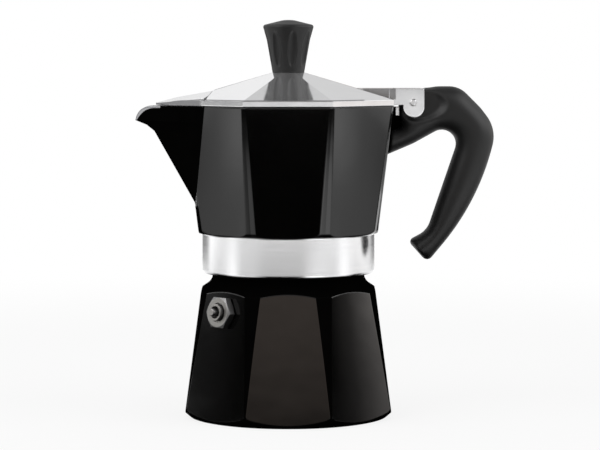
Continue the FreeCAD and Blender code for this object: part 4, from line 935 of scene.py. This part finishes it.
def metal(name, colours, rough, edge_radius, wave=0.08, rings=0.10, shine=1.0, shade_and_dull=None):
    """Polished or satin bare metal with polishing marks, darker and duller where a mask says so,
    for painted shade and dull patches.
    """
    material, tree, shader = new_material(name)
    edge = use_effect(tree, SOFT_EDGE, Radius=edge_radius)
    marks = use_effect(tree, HANDLING_MARKS, Scale=1.4)
    skin = use_effect(tree, CAST_SKIN, Wave=0.10, Grain=2.5)
    lines = use_effect(tree, TURNED_LINES, Fineness=5.0)
    colour = blend_colour(tree, marks["Smudge"], *colours)
    scuffed = calc(tree, "MULTIPLY_ADD", marks["Scratch"], SCRATCH_ROUGH, rough)
    varied = calc(tree, "MULTIPLY_ADD", marks["Smudge"], SMUDGE_ROUGH, scuffed)
    if shade_and_dull:
        mask = shade_and_dull(tree)
        # Darker metal where the mask says; on the lid this is painted shade in its crease and at
        # the beak's root
        colour = blend_colour(tree, mask, colour, SHADED_AND_DULL_METAL)
        varied = blend_value(tree, mask, varied, DULL_ROUGH)
    wavy = bump(tree, skin["Wave Height"], wave, METAL_WAVE_DEPTH, edge["Normal"])
    lined = bump(tree, lines["Height"], rings, METAL_RING_DEPTH, wavy)
    tree.links.new(colour, shader.inputs["Base Color"])
    tree.links.new(varied, shader.inputs["Roughness"])
    tree.links.new(lined, shader.inputs["Normal"])
    shader.inputs["Metallic"].default_value = shine
    return material


def shade_and_dull_of_lid(tree):
    """Painted shade on the crease and the beak's root; darker, rougher beak skirt and hinge cheeks.
    """
    _, x, y, z = millimetres(tree)
    _, out_y, out_z = split(tree, true_normal(tree))
    facing_side = calc(tree, "ABSOLUTE", out_y)
    upright = step_down(tree, calc(tree, "ABSOLUTE", out_z), LEANING, 0.1)
    from_crease = calc(tree, "ABSOLUTE", calc(tree, "SUBTRACT", z, LID_CREASE_Z))
    # Painted shade: a dark line along the crease at the top of the lid's band
    crease = both(
        tree, step_down(tree, from_crease, LID_CREASE_HALF, 0.12),
        step_down(tree, x, EAR_CAST_LOW_X, 0.5), step_up(tree, x, BEAK_CAST_X, 0.5),
    )
    aside = calc(tree, "ABSOLUTE", y)
    root_x = calc(tree, "MULTIPLY_ADD", aside, -BEAK_ROOT_SWEEP, BEAK_ROOT_X)
    from_root = calc(tree, "ABSOLUTE", calc(tree, "SUBTRACT", x, root_x))
    # Painted shade: a dark line at the foot of the step at the beak's root
    root = both(
        tree, step_down(tree, from_root, BEAK_ROOT_HALF, 0.15),
        step_up(tree, aside, BEAK_ROOT_Y, 0.5), step_up(tree, z, BEAK_ROOT_LOW_Z, 0.1),
    )
    # Darker, rougher metal on the beak's skirt and, below, on the hinge arm's cheeks
    skirt = both(
        tree, step_down(tree, x, BEAK_CAST_X, 1.0), step_down(tree, z, LID_BAND_TOP, 0.1), upright
    )
    cheek = both(
        tree, step_up(tree, x, EAR_CAST_LOW_X, 0.3), step_down(tree, x, EAR_CAST_HIGH_X, 0.3),
        step_up(tree, z, LID_BAND_TOP, 0.1), step_up(tree, facing_side, FACING_SIDE, 0.1),
    )
    shares = [
        (crease, CREASE_SHADE), (skirt, SKIRT_DULLNESS), (cheek, CHEEK_DULLNESS),
        (root, BEAK_ROOT_SHADE),
    ]
    return either(tree, *[calc(tree, "MULTIPLY", place, share) for place, share in shares])


def dull_of_valve(tree):
    """The valve's turned face is bright and the flanks of its hexagon are dull."""
    facing = dot(tree, true_normal(tree), VALVE_AXIS)
    return calc(tree, "MULTIPLY", step_down(tree, facing, VALVE_FACE, 0.03), VALVE_DULLNESS)


def moulded(name, colours, rough, edge_radius, gloss):
    """Moulded plastic or rubber with a fine grain."""
    material, tree, shader = new_material(name)
    edge = use_effect(tree, SOFT_EDGE, Radius=edge_radius)
    marks = use_effect(tree, HANDLING_MARKS, Scale=1.2)
    skin = use_effect(tree, CAST_SKIN, Wave=0.12, Grain=7.0)
    wavy = bump(tree, skin["Wave Height"], *MOULDED_WAVE_BUMP, edge["Normal"])
    grained = bump(tree, skin["Grain Height"], *MOULDED_GRAIN_BUMP, wavy)
    varied = calc(tree, "MULTIPLY_ADD", marks["Smudge"], MOULDED_SMUDGE_ROUGH, rough)
    tree.links.new(blend_colour(tree, marks["Smudge"], *colours), shader.inputs["Base Color"])
    tree.links.new(varied, shader.inputs["Roughness"])
    tree.links.new(grained, shader.inputs["Normal"])
    shader.inputs["Specular IOR Level"].default_value = gloss
    return material


def dress(material, *names):
    """Gives CAD nodes a finish."""
    for name in names:
        slots = NODES[name].data.materials
        slots.clear()
        slots.append(material)


def make_finishes():
    """Gives every CAD node its finish, and hands back the plastic for the handle."""
    dress(enamel_over_metal("boiler_enamel", boiler_places, 0.34, 0.7 * MM), "boiler")
    dress(enamel_over_metal("chamber_enamel", chamber_places, 0.20, 0.9 * MM), "upper_chamber")
    polished = metal(
        "polished_lid", POLISHED_SILVER, 0.06, 0.4 * MM, wave=0.03, rings=0.03, shine=0.9,
        shade_and_dull=shade_and_dull_of_lid,
    )
    dress(polished, "lid")
    spun = metal("spun_aluminium", SPUN_ALUMINIUM, 0.30, 0.15 * MM)
    dress(spun, "funnel", "funnel_strainer", "filter_plate", "column")
    nickel = metal("nickel_plate", NICKEL, 0.30, 0.15 * MM, shade_and_dull=dull_of_valve)
    dress(nickel, "valve_body", "valve_washer", "valve_piston")
    dress(metal("brass", BRASS, 0.26, 0.1 * MM), "valve_retainer", "knob_insert")
    dress(metal("steel", STEEL, 0.28, 0.1 * MM), "valve_spring", "knob_screw", "knob_washer")
    dress(metal("bright_pin", BRIGHT_STEEL, 0.16, 0.2 * MM), "hinge_pin")
    dress(moulded("gasket_rubber", WHITE_RUBBER, 0.55, 0.3 * MM, 0.5), "gasket")
    plastic = moulded("black_plastic", BLACK_PLASTIC, 0.42, 0.6 * MM, 0.45)
    dress(plastic, "knob", "handle")
    return plastic


# Studio


def make_light_round():
    """The light that stands round the pot near the horizon, by the way from the pot."""
    tree, given, out = make_effect(
        "light_round",
        [("Right", "NodeSocketFloat", 0.0), ("Back", "NodeSocketFloat", 0.0)],
        [(name, "NodeSocketFloat") for name in ("Light", "Turn", "Right Side")],
    )
    least = 0.0001
    level = calc(tree, "MAXIMUM", reach(tree, given["Right"], given["Back"]), least)
    turn = calc(tree, "MULTIPLY_ADD", calc(tree, "DIVIDE", given["Back"], level), 0.5, 0.5)
    right = step_up(tree, calc(tree, "DIVIDE", given["Right"], level), 0.0, 0.06)
    light = blend_value(tree, right, ramp(tree, turn, LEFT_LIGHT), ramp(tree, turn, RIGHT_LIGHT))
    tree.links.new(light, out["Light"])
    tree.links.new(turn, out["Turn"])
    tree.links.new(right, out["Right Side"])
    return tree


LIGHT_ROUND = make_light_round()


def floor_light(tree, x, y, away):
    """The light that metal and enamel see on the floor."""
    round_light = use_effect(tree, LIGHT_ROUND, Right=x, Back=y)
    turn, right = round_light["Turn"], round_light["Right Side"]
    near, far = ramp(tree, turn, NEAR_POOL), ramp(tree, turn, FAR_POOL)
    side = blend_value(tree, step_up(tree, away, *FAR_POOL_START), near, far)
    behind = step_up(tree, turn, *POOL_BEHIND)
    side_start = blend_value(tree, behind, SIDE_POOL_START, BACK_POOL_START)
    side = calc(tree, "MULTIPLY", side, step_up(tree, away, side_start, POOL_SOFTNESS))
    front = blend_value(
        tree, right, ramp(tree, turn, FRONT_LEFT_POOL), ramp(tree, turn, FRONT_RIGHT_POOL)
    )
    front = both(
        tree, front, step_up(tree, away, *FRONT_POOL_START),
        step_down(tree, away, *FRONT_POOL_END),
    )
    beside = step_up(tree, turn, *SHADE_BESIDE)
    shade_end = blend_value(tree, beside, FRONT_SHADE_END, SIDE_SHADE_END)
    past_shade = step_up(tree, away, shade_end, SHADE_SOFTNESS)
    return blend_value(tree, past_shade, calc(tree, "MAXIMUM", side, front), round_light["Light"])


def make_floor():
    """A pale floor that keeps the pot's shadow, where metal and enamel see pools of light."""
    mesh = bpy.data.meshes.new("studio_floor")
    ways = [(-1, -1), (1, -1), (1, 1), (-1, 1)]
    corners = [(x * FLOOR_HALF, y * FLOOR_HALF, 0) for x, y in ways]
    mesh.from_pydata(corners, [], [(0, 1, 2, 3)])
    floor = place_object("studio_floor", mesh)
    material, tree, shader = new_material("studio_floor")
    shader.inputs["Base Color"].default_value = FLOOR_GREY
    shader.inputs["Roughness"].default_value = FLOOR_ROUGH
    shader.inputs["Specular IOR Level"].default_value = 0.0
    path = add(tree, "ShaderNodeLightPath").outputs
    _, x, y, _ = millimetres(tree)
    away = reach(tree, x, y)
    white = add(tree, "ShaderNodeEmission", {"Color": WHITE, "Strength": 1.0})
    mirrored = add(tree, "ShaderNodeEmission", {
        "Color": WHITE, "Strength": floor_light(tree, x, y, away),
    })
    lift = blend_value(tree, step_up(tree, away, *FLOOR_LIFT_END), FLOOR_LIFT, 1.0)
    lifted = add(tree, "ShaderNodeMixShader", {
        0: both(tree, path["Is Camera Ray"], lift), 1: shader.outputs[0], 2: white.outputs[0],
    })
    shown = add(tree, "ShaderNodeMixShader", {
        0: path["Is Glossy Ray"], 1: lifted.outputs[0], 2: mirrored.outputs[0],
    })
    tree.links.new(shown.outputs[0], tree.nodes["Material Output"].inputs["Surface"])
    mesh.materials.append(material)


def tent_light(tree, round_light, z):
    """The light that metal and enamel see above the floor: panels with dark gaps between them."""
    turn, right = round_light["Turn"], round_light["Right Side"]
    side = blend_value(tree, right, ramp(tree, z, LEFT_PANEL), ramp(tree, z, RIGHT_PANEL))
    back = blend_value(tree, right, ramp(tree, z, BACK_LEFT_PANEL), ramp(tree, z, BACK_RIGHT_PANEL))
    beside = step_up(tree, turn, *PANEL_BESIDE)
    behind = step_up(tree, turn, *PANEL_BEHIND)
    round_panels = blend_value(tree, beside, ramp(tree, z, FRONT_PANEL), side)
    round_panels = blend_value(tree, behind, round_panels, back)
    round_panels = calc(tree, "MULTIPLY", round_panels, ramp(tree, turn, PANEL_GAPS))
    overhead = both(
        tree, step_up(tree, z, *OVERHEAD_LOW), step_down(tree, z, *OVERHEAD_HIGH),
        step_up(tree, turn, *OVERHEAD_FRONT), step_down(tree, turn, *OVERHEAD_BACK),
        OVERHEAD_LIGHT,
    )
    panels = calc(tree, "MAXIMUM", round_panels, overhead)
    side_sky = blend_value(tree, right, LEFT_SKYLINE, RIGHT_SKYLINE)
    sky = blend_value(tree, step_up(tree, turn, *SKYLINE_BESIDE), FRONT_SKYLINE, side_sky)
    skyline = calc(tree, "MULTIPLY", round_light["Light"], sky)
    return blend_value(tree, step_up(tree, z, *SKYLINE_TOP), skyline, panels)


def make_world():
    """A white tent to the camera, in which metal and enamel see panels of light."""
    world = bpy.data.worlds.new("studio")
    world.use_nodes = True
    bpy.context.scene.world = world
    tree = world.node_tree
    x, y, z = split(tree, add(tree, "ShaderNodeTexCoord").outputs["Generated"])
    round_light = use_effect(tree, LIGHT_ROUND, Right=x, Back=y)
    turn, right = round_light["Turn"], round_light["Right Side"]
    path = add(tree, "ShaderNodeLightPath").outputs
    mirrored = tent_light(tree, round_light, z)
    plain = blend_value(tree, path["Is Glossy Ray"], TENT_LIGHT, mirrored)
    warm_front = both(
        tree, step_down(tree, turn, *WARM_FRONT), step_up(tree, z, *WARM_FRONT_LOW),
        step_down(tree, z, *WARM_FRONT_HIGH),
    )
    warm_right = both(
        tree, right, step_up(tree, turn, *WARM_BESIDE), step_down(tree, z, *WARM_RIGHT_HIGH),
        RIGHT_WARMTH,
    )
    warmth = both(tree, path["Is Glossy Ray"], either(tree, warm_front, warm_right))
    tent = tree.nodes["Background"]
    tree.links.new(blend_colour(tree, warmth, WHITE, WARM_WHITE), tent.inputs["Color"])
    strength = calc(tree, "MAXIMUM", plain, path["Is Camera Ray"])
    tree.links.new(strength, tent.inputs["Strength"])


def make_lamp(name, spot, size, power):
    """A soft rectangular lamp aimed at the pot."""
    lamp = bpy.data.lights.new(name, "AREA")
    lamp.shape = "RECTANGLE"
    lamp.size, lamp.size_y = size
    lamp.energy = power
    holder = place_object(name, lamp)
    holder.location = spot
    way = Vector(LAMP_AIM) - Vector(spot)
    holder.rotation_euler = way.to_track_quat("-Z", "Y").to_euler()
    holder.visible_camera = False


def make_camera():
    """The camera that took the photo."""
    camera = bpy.data.cameras.new("camera")
    camera.lens = CAMERA_LENS
    camera.sensor_width = CAMERA_SENSOR
    camera.clip_end = CAMERA_FAR
    holder = place_object("camera", camera)
    holder.location = CAMERA_SPOT
    holder.rotation_euler = (math.radians(90.0 - CAMERA_PITCH), 0.0, 0.0)
    bpy.context.scene.camera = holder


def make_studio():
    """The floor, the light and the camera."""
    bpy.context.scene.view_settings.view_transform = "Standard"
    make_floor()
    make_world()
    for name, spot, size, power in LAMPS:
        make_lamp(name, spot, size, power)
    make_camera()


make_handle(make_finishes())
squash_spring()
make_studio()
